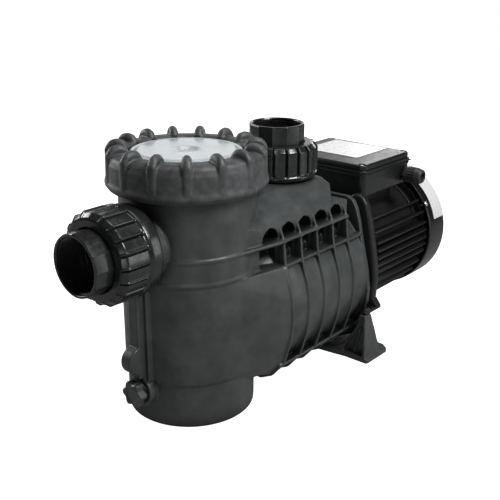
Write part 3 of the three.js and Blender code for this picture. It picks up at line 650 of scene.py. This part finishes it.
def casing_bosses():
    """The suction boss, and below it the web down to the drain boss."""
    suction = disc(35.5, SKIRT_BACK + 0.3, -50, "x", (0, 0, SUCTION_Z), 96, 1)
    web = block(-82, -60, -7, 7, 55, 150)
    pad = block(-75, -60, -13, 13, 52, 152)
    lobe = disc(15, -7, 7, "y", (-80, 0, 76), 64, 1)
    drain_rim = corner("drain_plug_o_ring", 1).x
    drain = disc(17, drain_rim, -50, "x", (0, 0, DRAIN_Z), 64, 1)
    return [suction, web, pad, lobe, drain]


def casing_hollows():
    pot = disc(POT_BORE, 10, 270, "z", (0, 0, 0), 160)
    inlet = disc(PIPE_BORE, -130, -40, "x", (0, 0, SUCTION_Z), 96)
    passage = disc(30, 50, 101, "x", (0, 0, SHAFT_Z), 96)
    chamber = disc(CHAMBER_RADIUS, 100, 220, "x", (0, 0, SHAFT_Z), 128)
    outlet = disc(PIPE_BORE, 180, 280, "z", (DISCHARGE_X, 0, 0), 96)
    drain = disc(DRAIN_BORE, -100, -50, "x", (0, 0, DRAIN_Z), 48)
    return [pot, inlet, passage, chamber, outlet, drain]


def make_casing():
    solids = [casing_cheeks(), *casing_pot(), *casing_barrel(), *casing_hump(), *casing_bosses()]
    body = moulded_from(solids, 1.05, 2)
    combine(body, casing_hollows())
    show(body, "casing_moulding", CASING, "pump_body", "moulded_casing", "pump_casing", crease=50)


# ------ strainer lid and lock ring
RING_LUGS = 15
SEAT_TOP = 269.8
LID_RIM_Z = 282.0


def make_lock_ring():
    """A hoop with a flat skirt, and grip lugs that run up its side and over its top."""
    hoop = lathe(rounded([
        (77.3, RING_LOW), (80.8, RING_LOW, 0.8), (84.0, RING_LOW + 4.4, 1.2),
        (84.0, RING_LOW + 7, 2), (82.7, RING_LOW + 11, 3), (82.2, 274, 5), (79.8, LID_RIM_Z, 5),
        (73, 284.2, 5), (62, 284.4, 2), (59, 282.6, 1.2), (58.6, SEAT_TOP), (77.3, SEAT_TOP)]),
        facets=240)
    lug_side = rounded([
        (58.9, 274), (58.9, 285, 4), (63.5, 291.5, 5), (70.7, RING_HIGH, 9), (78.4, 291.2, 8),
        (83.6, 284, 6), (84.0, 252, 2), (80, 250), (80, 274)])
    lug = pillow(lug_side, "y", 4.8, 0.17, (72, 262))
    lugs = turned_copies(lug, RING_LUGS, "z", (0, 0, 0), 225)
    ring = moulded_from([hoop, lugs], 0.8, 2)
    show(ring, "lock_ring", RING, "lock_ring", "moulded_casing", "lid_lock_ring", crease=55)


def make_lid():
    """The window: a shallow dish in the middle, a groove inside the rim and a flat seat below."""
    window = lathe(rounded([
        (0, 279.6), (10, 279.8, 6), (14.5, 283.2, 3), (50, 283.6, 4), (53.5, LID_RIM_Z, 1.5),
        (57.4, 283.2, 1), (57.6, 269.2), (69.8, 269.2, 0.8), (69.8, 264.2, 0.8), (52, 264.2),
        (52, 279, 2), (20, 279, 2), (14, 276, 2), (0, 276)], False), facets=200, closed=False)
    show(window, "lid_window", WINDOW, "lid", "lid_window", "clear_lid")


SLOT_ROWS = 10
SLOTS_ROUND = 24
SLOT_PITCH = 15


def make_basket():
    """A slotted cup with a rim, a window at the suction side and an arched handle."""
    cup = lathe(rounded([
        (0, 10.4), (56, 10.4, 3), (59, 15), (61, 222), (64, 222, 0.8), (64, 225.5, 0.8),
        (58.8, 225.5, 0.8), (56.8, 16), (54, 13, 2), (0, 13)], False), facets=192, closed=False)
    slots = []
    for row in range(SLOT_ROWS):
        z = 27 + row * SLOT_PITCH
        slot = block(50, 70, -4.6, 4.6, z, z + 9)
        shift = 180 / SLOTS_ROUND * (row % 2)
        slots.append(turned_copies(slot, SLOTS_ROUND, "z", (0, 0, 0), shift))
    window = disc(28, -80, -40, "x", (0, 0, 190), 64)
    combine(cup, slots + [window])
    handle = prism(rounded([
        (-60, 218), (-60, 224, 2), (-22, 246, 10), (22, 246, 10), (60, 224, 2), (60, 218),
        (55, 218), (20, 239, 8), (-20, 239, 8), (-55, 218)]), "x", -4.5, 4.5)
    combine(cup, [bevelled(handle, 1.2, 2)], "UNION")
    show(cup, "basket", BASKET, "strainer_basket", "basket", "strainer_basket")


# ------ pipe unions
# A union is drawn from the nut's casing end at height 0 outwards, along its own axis.
NUT_RIBS = 20
NUT_GROOVE = 0.14
NUT_RIDGE = 0.09
SOCKET_RADIUS = 31.8
SOCKET_FLATS = 12
THREAD_PITCH = 2.309
THREAD_TURNS = 11
THREAD_ROOT = 29.3
THREAD_CREST = 27.5
SKIRT_RADIUS = 46
SKIRT_FLATS = 12


def refined(profile, step):
    """The closed profile with extra points on its long stretches."""
    result = []
    count = len(profile)
    for i, point in enumerate(profile):
        after = profile[(i + 1) % count]
        parts = max(1, math.ceil((after - point).length / step))
        result += [point.lerp(after, k / parts) for k in range(parts)]
    return result


def union_nut(axis, at):
    top = NUT_LENGTH
    profile = refined(rounded([
        (41.4, 0), (46.6, 0, 0.5), (47.6, 1.2, 0.6), (47.2, 2.4, 0.6), (45.6, 5, 3),
        (45.4, top - 5.5, 3), (41.5, top - 0.6, 1.5), (39, top, 1), (32.6, top, 0.8),
        (32.6, top - 9.7), (41.4, top - 9.7)]), 1.2)

    def flute(i, radius, angle):
        """Broad grips: each is highest at a ridge, falls along the flat and ends in a groove."""
        height = profile[i].y
        if radius < 40.5 or height < 3.4 or height > top - 0.3:
            return radius
        fade = min(1.0, (height - 3.4) / 3)
        place = (angle * NUT_RIBS / ALL_ROUND) % 1.0
        in_groove = place - (1 - NUT_GROOVE)
        if in_groove > 0:
            return radius - fade * 2.9 * math.sin(math.pi * in_groove / NUT_GROOVE) ** 0.7
        ridge = max(0.0, 1 - abs(place - NUT_RIDGE) / NUT_RIDGE) ** 0.6
        return radius + fade * (1.5 * ridge + 0.7 * (1 - place))

    return lathe(profile, axis, at, 960, reshape=flute)


def polygonal(flats, radius, angle, share):
    """The radius at an angle of a polygon; share runs from 0, round, to 1, flat-sided."""
    turn = (angle % (ALL_ROUND / flats)) - math.pi / flats
    return radius * (1 - share + share * math.cos(math.pi / flats) / math.cos(turn))


def union_socket(axis, at):
    """A flanged tail with a faceted outside and thread rings inside its mouth."""
    end = UNION_LENGTH
    turn = ((THREAD_ROOT, 0.4), (THREAD_ROOT, 0.9), (THREAD_CREST, 1.8), (THREAD_CREST, 2.1))
    thread = [(radius, end - 2.4 - THREAD_PITCH * k - step)
              for k in range(THREAD_TURNS) for radius, step in turn]
    profile = rounded([
        (22.6, 18.8), (39.5, 18.8, 0.8), (39.5, 25.7, 0.8), (SOCKET_RADIUS, 25.7),
        (SOCKET_RADIUS, end - 0.1, 1.6), (28.6, end - 0.1, 0.8), (27.9, end - 1.6), *thread,
        (28.2, 26), (22.6, 26, 0.6)])

    def facet(i, radius, angle):
        if abs(radius - 32) > 1:
            return radius
        return polygonal(SOCKET_FLATS, radius, angle, 0.9)

    return lathe(profile, axis, at, 288, reshape=facet)


def union_adaptor(axis, at, skirt, stem):
    """Wrench skirt below 0, threaded nose above it and a stem that screws into the casing."""
    edge = min(1.2, skirt / 3)
    profile = rounded([
        (25, -skirt - stem), (30.5, -skirt - stem, 0.8), (30.5, -skirt), (45.4, -skirt, edge),
        (SKIRT_RADIUS, -skirt + 2 * edge, edge), (SKIRT_RADIUS, -0.3, edge), (40.5, -0.3),
        (40.5, 16, 1), (25, 16, 1)])

    def facet(i, radius, angle):
        if radius < 44 or skirt < 5:
            return radius
        return polygonal(SKIRT_FLATS, radius, angle, 0.25)

    return lathe(profile, axis, at, 288, reshape=facet)


def make_unions():
    places = {"suction": ("-x", (SUCTION_END + UNION_LENGTH, 0, SUCTION_Z), 13, 15),
              "discharge": ("z", (DISCHARGE_X, 0, DISCHARGE_END - UNION_LENGTH), 2.2, 9)}
    for side, (axis, at, skirt, stem) in places.items():
        show(union_nut(axis, at), f"{side}_nut", GLOSS, f"{side}_nut", "gloss_fittings",
             f"{side}_union_nut", crease=60)
        show(union_socket(axis, at), f"{side}_socket", GLOSS, "pump_body", "gloss_fittings",
             f"{side}_union_socket", crease=25)
        show(union_adaptor(axis, at, skirt, stem), f"{side}_adaptor", GLOSS, "pump_body",
             "gloss_fittings", f"{side}_union_adaptor", crease=25)


# ------ drain plug
PLUG_LOBES = 6


def make_drain_plug():
    """A lobed cap on a plain stem."""
    face = corner("drain_plug_o_ring", 0).x
    profile = refined(rounded([
        (0, -26), (9, -26, 1), (9, 0), (12.5, 0, 0.8), (12.8, 8.5, 2.5), (10.5, 10.4, 2),
        (7, 8.6, 1), (0, 8.4)], False), 1.0)[:-1]

    def lobed(i, radius, angle):
        height = profile[i].y
        if height < 0.5 or radius < 9.5:
            return radius
        wave = 0.5 + 0.5 * math.cos(PLUG_LOBES * angle)
        return radius + 1.9 * wave - 1.2 * (1 - wave)

    plug = lathe(profile, "-x", (face - 0.3, 0, DRAIN_Z), 144, closed=False, reshape=lobed)
    show(plug, "drain_cap", CASING, "drain_plug", "moulded_casing", "drain_plug")


# ------ bracket and stand
LUG_FRONT = corner("motor_bracket", 0).x
LUG_TOP = 66
LEG_TOP = 61.6
LEG_TOP_BACK = 204
LEG_BACK = 224
STAND_HALF = 109.8
BOLT_Y = 100


def bolt_holes(low, high):
    return [disc(3, low, high, "z", (STAND_BOLT_X, side * BOLT_Y, 0), 32) for side in (1, -1)]


def make_bracket():
    """The plate behind the casing's flange, with a lug on each side that rests on the stand."""
    plate = prism(rounded(mirrored(BRACKET_HALF)), "x", BRACKET_FRONT, BRACKET_BACK)
    bevelled(plate, 3.4, 5)
    skirt = tube(60, 70, BRACKET_BACK - 1, 240.6, "x", (0, 0, SHAFT_Z))
    wedge = [(88, 62.1), (103.4, 62.1, 1), (103.4, LUG_TOP, 1), (97, 74, 3), (88, 76)]
    lugs = []
    for side in (1, -1):
        y0, y1 = sorted((side * 96.8, side * 103.3))
        bar = block(LUG_FRONT, BRACKET_BACK - 0.3, y0, y1, 62.1, LUG_TOP)
        lugs.append(bevelled(bar, 1.2, 3))
        lugs.append(prism(rounded(sided(wedge, side)), "x", BRACKET_FRONT + 0.4, BRACKET_BACK - 0.3))
    combine(plate, [skirt, *lugs], "UNION")
    combine(plate, [disc(13, 200, 250, "x", (0, 0, SHAFT_Z), 64), *bolt_holes(50, 90)])
    show(plate, "bracket_moulding", BLACK, "pump_body", "moulded_casing", "motor_bracket")


def stand_leg(side):
    """One leg, hollow at the front, with a web in the hollow and a back that slopes down."""
    outer = [(45, 3), (106, 3), (103.7, LEG_TOP, 2), (95.5, LEG_TOP, 1), (94.5, 54, 4), (91, 44, 8),
             (74, 17, 8), (55, 4)]
    pocket = [(73, 7, 2), (102.2, 7, 2), (100.6, 49, 3), (97, 47, 3), (91, 37, 6), (76, 14, 3)]
    rib = [(84, 5), (87.5, 5), (98, 48), (95, 48)]
    behind = LEG_BACK + 5
    leg = prism(rounded(sided(outer, side)), "x", STAND_FRONT, LEG_BACK)
    hollow = prism(rounded(sided(pocket, side)), "x", STAND_FRONT - 2, LEG_TOP_BACK - 5)
    slope = prism([(LEG_TOP_BACK, 70), (LEG_TOP_BACK, LEG_TOP), (LEG_BACK, 12), (behind, 12),
                   (behind, 70)], "y", -120, 120)
    combine(leg, [hollow, slope])
    web = prism(rounded(sided(rib, side)), "x", STAND_FRONT + 5, LEG_TOP_BACK - 3)
    return [leg, web]


def make_stand():
    """The base plate, bowed forward between the legs, and the two legs."""
    front, back, half = STAND_FRONT, STAND_BACK, STAND_HALF
    bow = [(front - 8 * math.cos(math.radians(y * 90 / 80)), y) for y in range(-72, 73, 9)]
    outline = [(back - 8, -half, 1), (back, 10 - half, 1), (back, half - 10, 1), (back - 8, half, 1),
               (front, half, 2), (front, 80), *reversed(bow), (front, -80), (front, -half, 2)]
    plate = prism(rounded(outline), "z", 0, 5)
    stand = moulded_from([plate] + stand_leg(1) + stand_leg(-1), 0.9, 2)
    holes = [disc(4.5, -5, 12, "z", (back - 8, side * 88, 0), 32) for side in (1, -1)]
    combine(stand, holes + bolt_holes(47, 80))
    show(stand, "stand_moulding", STAND, "pump_body", "stand_moulding", "motor_stand", crease=50)


# ------ screws and bolts
SCREW_SEAT = 228


def hex_bolt(node, axis, head_low, head_high, stem_end, head_radius, stem_radius):
    """A hexagon head bolt with a washer face and a chamfered top, in a CAD bolt's place."""
    at = middle(node)
    at[{"x": 0, "z": 2}[axis]] = 0

    def hexagon(i, radius, angle):
        if i < 6 or radius < head_radius * 0.8:
            return radius
        return min(radius, polygonal(6, head_radius, angle, 1))

    washer = head_radius * 0.93
    profile = [(0, stem_end), (stem_radius * 0.85, stem_end), (stem_radius, stem_end + 1),
               (stem_radius, head_low), (washer, head_low), (washer, head_low + 0.6),
               (head_radius, head_low + 0.7), (head_radius, head_high - 0.8),
               (head_radius * 0.82, head_high), (0, head_high - 0.2)]
    return lathe([Vector(p) for p in profile], axis, at, 72, closed=False, reshape=hexagon)


def cross_screw(at, low, high, stem_end, head_radius, stem_radius):
    """A pan head screw that points down, with a cross slot in its head."""
    profile = rounded([
        (0, stem_end), (stem_radius, stem_end), (stem_radius, low), (head_radius, low, 0.3),
        (head_radius, (low + high) / 2, 0.8), (head_radius * 0.55, high, 1), (0, high)], False)
    screw = lathe(profile, "z", at, 48, closed=False)
    slots = []
    for a, b in ((0.5, head_radius * 0.55), (head_radius * 0.55, 0.5)):
        slots.append(prism(rectangle(-a, a, -b, b), "z", high - 1.1, high + 1, at))
    return combine(screw, slots)


def make_fasteners():
    flange = ("x", BRACKET_BACK + 0.3, BRACKET_BACK + 6, FLANGE_FRONT + 1, 6.8, 3.8)
    stand = ("z", LUG_TOP + 0.3, LUG_TOP + 3.9, 49.2, 4.4, 2.5)
    bolts = [(f"flange_bolt_{i}", flange) for i in range(1, 7)]
    bolts += [(f"stand_bolt_{i}", stand) for i in (1, 2)]
    for node, shape in bolts:
        bolt = hex_bolt(node, *shape)
        show(bolt, f"{node}_hex", BLACK_ZINC, "pump_body", "fasteners", node, crease=25)
    for i in range(1, 5):
        node = f"terminal_lid_screw_{i}"
        centre = middle(node)
        screw = cross_screw((centre.x, centre.y, 0), SCREW_SEAT + 0.4, SCREW_SEAT + 3, 216, 3.7, 1.9)
        show(screw, f"{node}_cross", ZINC, "pump_body", "fasteners", node)


# ------ motor
AT_SHAFT = (0, 0, SHAFT_Z)
FIN_ANGLES = (36, 24, 14, 7, 0, -7, -14, -26, -38, -50, -62, -74, -86)
FIN_ROOT = 67.5
FIN_TIP = 83
FIN_HALF = 1.6
SHELL_BORE = 62
LEAD_X = 290
LEAD_HOLE = 10


def finned_outline():
    """The motor's cross-section: a round shell with a thin tapering fin at each angle."""
    turns = sorted({round(a % 360, 3) for f in FIN_ANGLES for a in (f, 180 - f)})
    one_side = [(FIN_ROOT, FIN_HALF * 1.5), (FIN_TIP - 1, FIN_HALF), (FIN_TIP, FIN_HALF * 0.5)]
    fin = [(reach, -width) for reach, width in one_side] + one_side[::-1]
    outline = []
    for turn, following in zip(turns, turns[1:] + [turns[0] + 360]):
        here = math.radians(turn)
        along = Vector((math.cos(here), math.sin(here)))
        across = Vector((-along.y, along.x))
        outline += [along * reach + across * width for reach, width in fin]
        gap = following - turn
        steps = max(1, int(gap // 4))
        for k in range(1, steps):
            mid = math.radians(turn + gap * k / steps)
            outline.append(Vector((FIN_ROOT * math.cos(mid), FIN_ROOT * math.sin(mid))))
    return [(p.x, p.y) for p in outline]


def make_motor():
    shell = prism(finned_outline(), "x", MOTOR_FRONT + 2, MOTOR_BACK - 1, AT_SHAFT)
    bevelled(shell, 0.5, 2, 40)
    collars = [tube(60, 69.5, MOTOR_FRONT, MOTOR_FRONT + 6, "x", AT_SHAFT, 128, 0.8),
               tube(60, 69.5, MOTOR_BACK - 6, MOTOR_BACK, "x", AT_SHAFT, 128, 0.8)]
    pedestal = bevelled(block(262, 340, -40, 40, 165, BOX_LOW.z - 0.3), 3, 3)
    combine(shell, [*collars, pedestal], "UNION")
    combine(shell, [disc(SHELL_BORE, MOTOR_FRONT - 5, MOTOR_BACK + 5, "x", AT_SHAFT, 128),
                    disc(LEAD_HOLE, 150, 200, "z", (LEAD_X, 0, 0), 32)])
    show(shell, "finned_shell", PAINT, "pump_body", "motor_paint", "motor_housing")


COVER_WALL = 2.4
COVER_SCREWS = 3
COVER_SCREW_X = 375.2
FIRST_SCREW_ANGLE = 60
GRILLE_RINGS = ((20, 31), (35, 46), (50, 61))
GRILLE_SPOKES = 18


def grille_slot(inner, outer):
    """The cutters of one ring of the grille: slots with a 4 mm spoke between them."""
    half = math.degrees(2.0 / outer)
    end = 360 / GRILLE_SPOKES - half
    outline = arc((0, 0), outer, half, end, 8) + arc((0, 0), inner, end, half, 8)
    slot = prism(outline, "x", COVER_BACK - 6, COVER_BACK + 3, AT_SHAFT)
    return turned_copies(slot, GRILLE_SPOKES, "x", AT_SHAFT)


def make_fan_cover():
    """A cup with a slotted grille in its rear face, held by three screws in its rim."""
    inside = COVER_RADIUS - COVER_WALL
    cup = lathe(rounded([
        (inside, COVER_FRONT), (COVER_RADIUS - 0.6, COVER_FRONT, 0.5),
        (COVER_RADIUS, COVER_FRONT + 3, 0.5), (COVER_RADIUS, COVER_BACK - 2.5, 3),
        (COVER_RADIUS - 5, COVER_BACK, 4), (18, COVER_BACK, 2), (14, COVER_BACK - 1.2, 2),
        (0, COVER_BACK - 1.2), (0, COVER_BACK - 1.2 - COVER_WALL),
        (inside - 5, COVER_BACK - COVER_WALL, 2), (inside, COVER_BACK - 6, 3)]), "x", AT_SHAFT, 200)
    slots = [grille_slot(*ring) for ring in GRILLE_RINGS]
    hole = disc(2.4, 70, 95, "z", (COVER_SCREW_X, 0, SHAFT_Z), 32)
    holes = turned_copies(hole, COVER_SCREWS, "x", AT_SHAFT, FIRST_SCREW_ANGLE)
    combine(cup, slots + [holes])
    show(cup, "fan_cover_shell", COVER, "pump_body", "fan_cover_gloss", "fan_cover")
    for i in range(COVER_SCREWS):
        screw = cross_screw((COVER_SCREW_X, 0, SHAFT_Z), COVER_RADIUS + 0.4, COVER_RADIUS + 2.4,
                            78.4, 3.6, 2)
        turned_copies(screw, 1, "x", AT_SHAFT, FIRST_SCREW_ANGLE + 360 / COVER_SCREWS * i)
        name = f"fan_cover_screw_{i + 1}"
        show(screw, f"{name}_cross", ZINC, "pump_body", "fasteners", name)


def make_cover_label():
    """A strip of film bent round the cover's upper near side."""
    first, last = 102, 166
    inner = arc((0, 0), COVER_RADIUS + 0.2, first, last, 40)
    outer = arc((0, 0), COVER_RADIUS + 0.6, last, first, 40)
    film = prism(inner + outer, "x", 385, COVER_BACK - 3.5, AT_SHAFT)
    show(film, "cover_label", COVER_LABEL, "pump_body", "blank_labels", "fan_cover_label")


# ------ terminal box
def box_outline(inset, radius):
    side = BOX_HIGH.y - inset
    return rectangle(BOX_LOW.x + inset, BOX_HIGH.x - inset, -side, side, radius)


def make_terminal_tub():
    tub = bevelled(prism(box_outline(1.2, 9), "z", BOX_LOW.z, BOX_HIGH.z), 2.2, 4)
    rim = prism(box_outline(0.2, 9), "z", BOX_HIGH.z - 3, BOX_HIGH.z)
    combine(tub, [bevelled(rim, 0.6, 2)], "UNION")
    hollow = prism(box_outline(4.2, 6), "z", BOX_LOW.z + 3, BOX_HIGH.z + 5)
    gland_hole = disc(7.3, 55, 75, "-y", (GLAND.x, 0, GLAND.z), 48)
    lead_hole = disc(LEAD_HOLE, BOX_LOW.z - 5, BOX_LOW.z + 8, "z", (LEAD_X, 0, 0), 32)
    combine(tub, [hollow, gland_hole, lead_hole])
    show(tub, "terminal_tub", TERMINAL, "pump_body", "terminal_box_moulding", "terminal_box")


def make_terminal_lid():
    """A lid with a lip round its lower edge, and a well at each corner for its screw."""
    seam = corner("terminal_box_lid", 0).z
    lid = bevelled(prism(box_outline(1.4, 9), "z", seam + 2.6, BOX_TOP), 2.4, 5)
    lip = bevelled(prism(box_outline(0, 9.5), "z", seam, seam + 3.4), 0.7, 3)
    combine(lid, [lip], "UNION")
    hollow = prism(box_outline(5, 16), "z", seam - 3, BOX_TOP - 3)
    wells = []
    for i in range(1, 5):
        centre = middle(f"terminal_lid_screw_{i}")
        wells.append(disc(4.3, SCREW_SEAT, 240, "z", (centre.x, centre.y, 0), 40))
        wells.append(disc(2.3, 210, 240, "z", (centre.x, centre.y, 0), 32))
    combine(lid, [hollow, *wells])
    show(lid, "terminal_lid", TERMINAL, "pump_body", "terminal_box_moulding", "terminal_box_lid")


def make_lid_label():
    low, high = corner("terminal_lid_label", 0), corner("terminal_lid_label", 1)
    outline = rectangle(low.x, high.x, low.y, high.y, 2)
    film = prism(outline, "z", BOX_TOP + 0.05, BOX_TOP + 0.4)
    show(film, "lid_label", LID_LABEL, "pump_body", "blank_labels", "terminal_lid_label")


def make_gland():
    """The cable gland in the near side of the box: a hexagon body and a ribbed dome nut."""
    at = (GLAND.x, 0, GLAND.z)
    face = -BOX_LOW.y
    hexagon = arc((0, 0), 10.8, 0, 300, 5)
    body = bevelled(prism(hexagon, "-y", face + 0.3, face + 6, at), 0.8, 3)
    combine(body, [disc(7, face - 7, face + 12, "-y", at, 48),
                   disc(8, face + 5, face + 16, "-y", at, 48)], "UNION")
    combine(body, [disc(5, face - 10, face + 30, "-y", at, 48)])
    show(body, "gland_body", NYLON, "pump_body", "gland_nylon", "cable_gland_body")
    profile = refined(rounded([
        (8.6, face + 6.4), (10.6, face + 6.4, 0.6), (10.7, face + 17, 2), (8.6, face + 25, 3),
        (5.4, face + 26, 1), (5.1, face + 19), (8.6, face + 17)]), 1.0)

    def grips(i, radius, angle):
        height = profile[i].y - face
        if radius < 9.6 or height > 15:
            return radius
        return radius - 0.5 * (0.5 - 0.5 * math.cos(18 * angle))

    nut = lathe(profile, "-y", at, 180, reshape=grips)
    show(nut, "gland_nut", NYLON, "gland_nut", "gland_nylon", "cable_gland_nut")


# ------ inner pieces kept from the CAD model
INNER = {
    "diffuser": CASING, "impeller": CASING, "cooling_fan": CASING,
    "front_end_shield": PAINT, "rear_end_shield": PAINT,
    "lid_o_ring": RUBBER, "suction_union_o_ring": RUBBER, "discharge_union_o_ring": RUBBER,
    "drain_plug_o_ring": RUBBER, "casing_gasket": RUBBER, "terminal_box_gasket": RUBBER,
    "seal_rotating_head": STEEL, "seal_ceramic_seat": CERAMIC, "motor_shaft": STEEL,
    "front_bearing": STEEL, "rear_bearing": STEEL, "impeller_screw": ZINC,
    "rotor_core": LAMINATIONS, "stator_core": LAMINATIONS, "stator_winding": COPPER,
    "terminal_block": CREAM, "run_capacitor": CAN, "cable_gland_locknut": NYLON,
}


def dress_inner_pieces():
    """Gives the CAD's own pieces their material and a small rounding on their edges."""
    for node, material in INNER.items():
        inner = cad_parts[node]
        inner.data.materials.clear()
        inner.data.materials.append(material)
        add_bevel(inner, 0.4, 2, 40)


# ------ camera, light and floor
def make_camera():
    """A 58.5 mm lens off the suction end, above the lid, looking down along the pump."""
    yaw = math.radians(40.49)
    pitch = math.radians(-19.95)
    roll = math.radians(0.257)
    ahead = Vector((math.cos(pitch) * math.cos(yaw), math.cos(pitch) * math.sin(yaw), math.sin(pitch)))
    right = Vector((math.sin(yaw), -math.cos(yaw), 0))
    up = right.cross(ahead)
    tilted = right * math.cos(roll) + up * math.sin(roll)
    upright = up * math.cos(roll) - right * math.sin(roll)
    turn = Matrix((tilted, upright, -ahead)).transposed().to_4x4()
    data = bpy.data.cameras.new("camera")
    data.lens = 58.51
    data.sensor_width = 36
    camera = in_scene("camera", data)
    place = Vector((POT_X - 573.48, -574.75, 468.07)) * MM
    camera.matrix_world = Matrix.Translation(place) @ turn
    bpy.context.scene.camera = camera


def softbox(name, place, target, size, power):
    """A rectangular lamp, in metres and watts, that faces a target."""
    data = bpy.data.lights.new(name, "AREA")
    data.shape = "RECTANGLE"
    data.size, data.size_y = size
    data.energy = power
    lamp = in_scene(name, data)
    aim = (Vector(target) - Vector(place)).to_track_quat("-Z", "Y")
    lamp.matrix_world = Matrix.Translation(place) @ aim.to_matrix().to_4x4()


def seen_by_camera(tree, unseen, seen):
    """A strength for rays straight from the camera, and another for the light on the object."""
    path = tree.nodes.new("ShaderNodeLightPath")
    return spread(tree, path.outputs["Is Camera Ray"], 0, 1, unseen, seen)


def make_world():
    world = bpy.data.worlds.new("studio")
    bpy.context.scene.world = world
    world.use_nodes = True
    tree = world.node_tree
    backdrop = tree.nodes["Background"]
    backdrop.inputs["Color"].default_value = (1, 1, 1, 1)
    tree.links.new(seen_by_camera(tree, 0.03, 1.0), backdrop.inputs["Strength"])


def make_lamps():
    softbox("key", (0.1, -1.2, 1.45), (0.05, 0, 0.12), (0.7, 0.7), 36)
    softbox("top", (0.2, 0.0, 1.6), (0, 0, 0.1), (0.8, 0.8), 8)
    softbox("front", (-1.2, -1.0, 0.3), (0, 0, 0.12), (0.35, 0.9), 3.2)
    softbox("right", (0.9, -1.5, 0.35), (0, 0, 0.1), (0.4, 0.9), 5)
    softbox("far side", (-0.5, 1.5, 0.7), (0, 0, 0.12), (1.0, 0.8), 20)
    softbox("motor end", (1.7, 0.5, 0.4), (0.2, 0, 0.12), (0.8, 0.6), 5)
    softbox("back", (1.2, 1.5, 0.8), (0, 0, 0.1), (2.8, 1.3), 12)


def make_floor():
    """A wide pale floor, just below the ground so that nothing lies in its plane."""
    bm = bmesh.new()
    bmesh.ops.create_grid(bm, x_segments=1, y_segments=1, size=60)
    mesh = bpy.data.meshes.new("floor")
    bm.to_mesh(mesh)
    bm.free()
    floor = in_scene("floor", mesh)
    floor.location.z = -0.6 * MM
    material, tree, shader, where = start_material("floor")
    tone = blend_colours(tree, noise(tree, where, 3, 2.0), (0.36, 0.36, 0.36), (0.40, 0.40, 0.40))
    tree.links.new(tone, shader.inputs["Base Color"])
    shader.inputs["Roughness"].default_value = 0.95
    shader.inputs["Emission Color"].default_value = (1, 1, 1, 1)
    tree.links.new(seen_by_camera(tree, 0.0, 1.0), shader.inputs["Emission Strength"])
    mesh.materials.append(material)


def make_studio():
    make_world()
    make_lamps()
    make_floor()
    view = bpy.context.scene.view_settings
    view.view_transform = "Standard"
    view.gamma = 0.85


make_camera()
make_studio()
make_casing()
make_lock_ring()
make_lid()
make_basket()
make_unions()
make_drain_plug()
make_bracket()
make_stand()
make_fasteners()
make_motor()
make_fan_cover()
make_cover_label()
make_terminal_tub()
make_terminal_lid()
make_lid_label()
make_gland()
dress_inner_pieces()
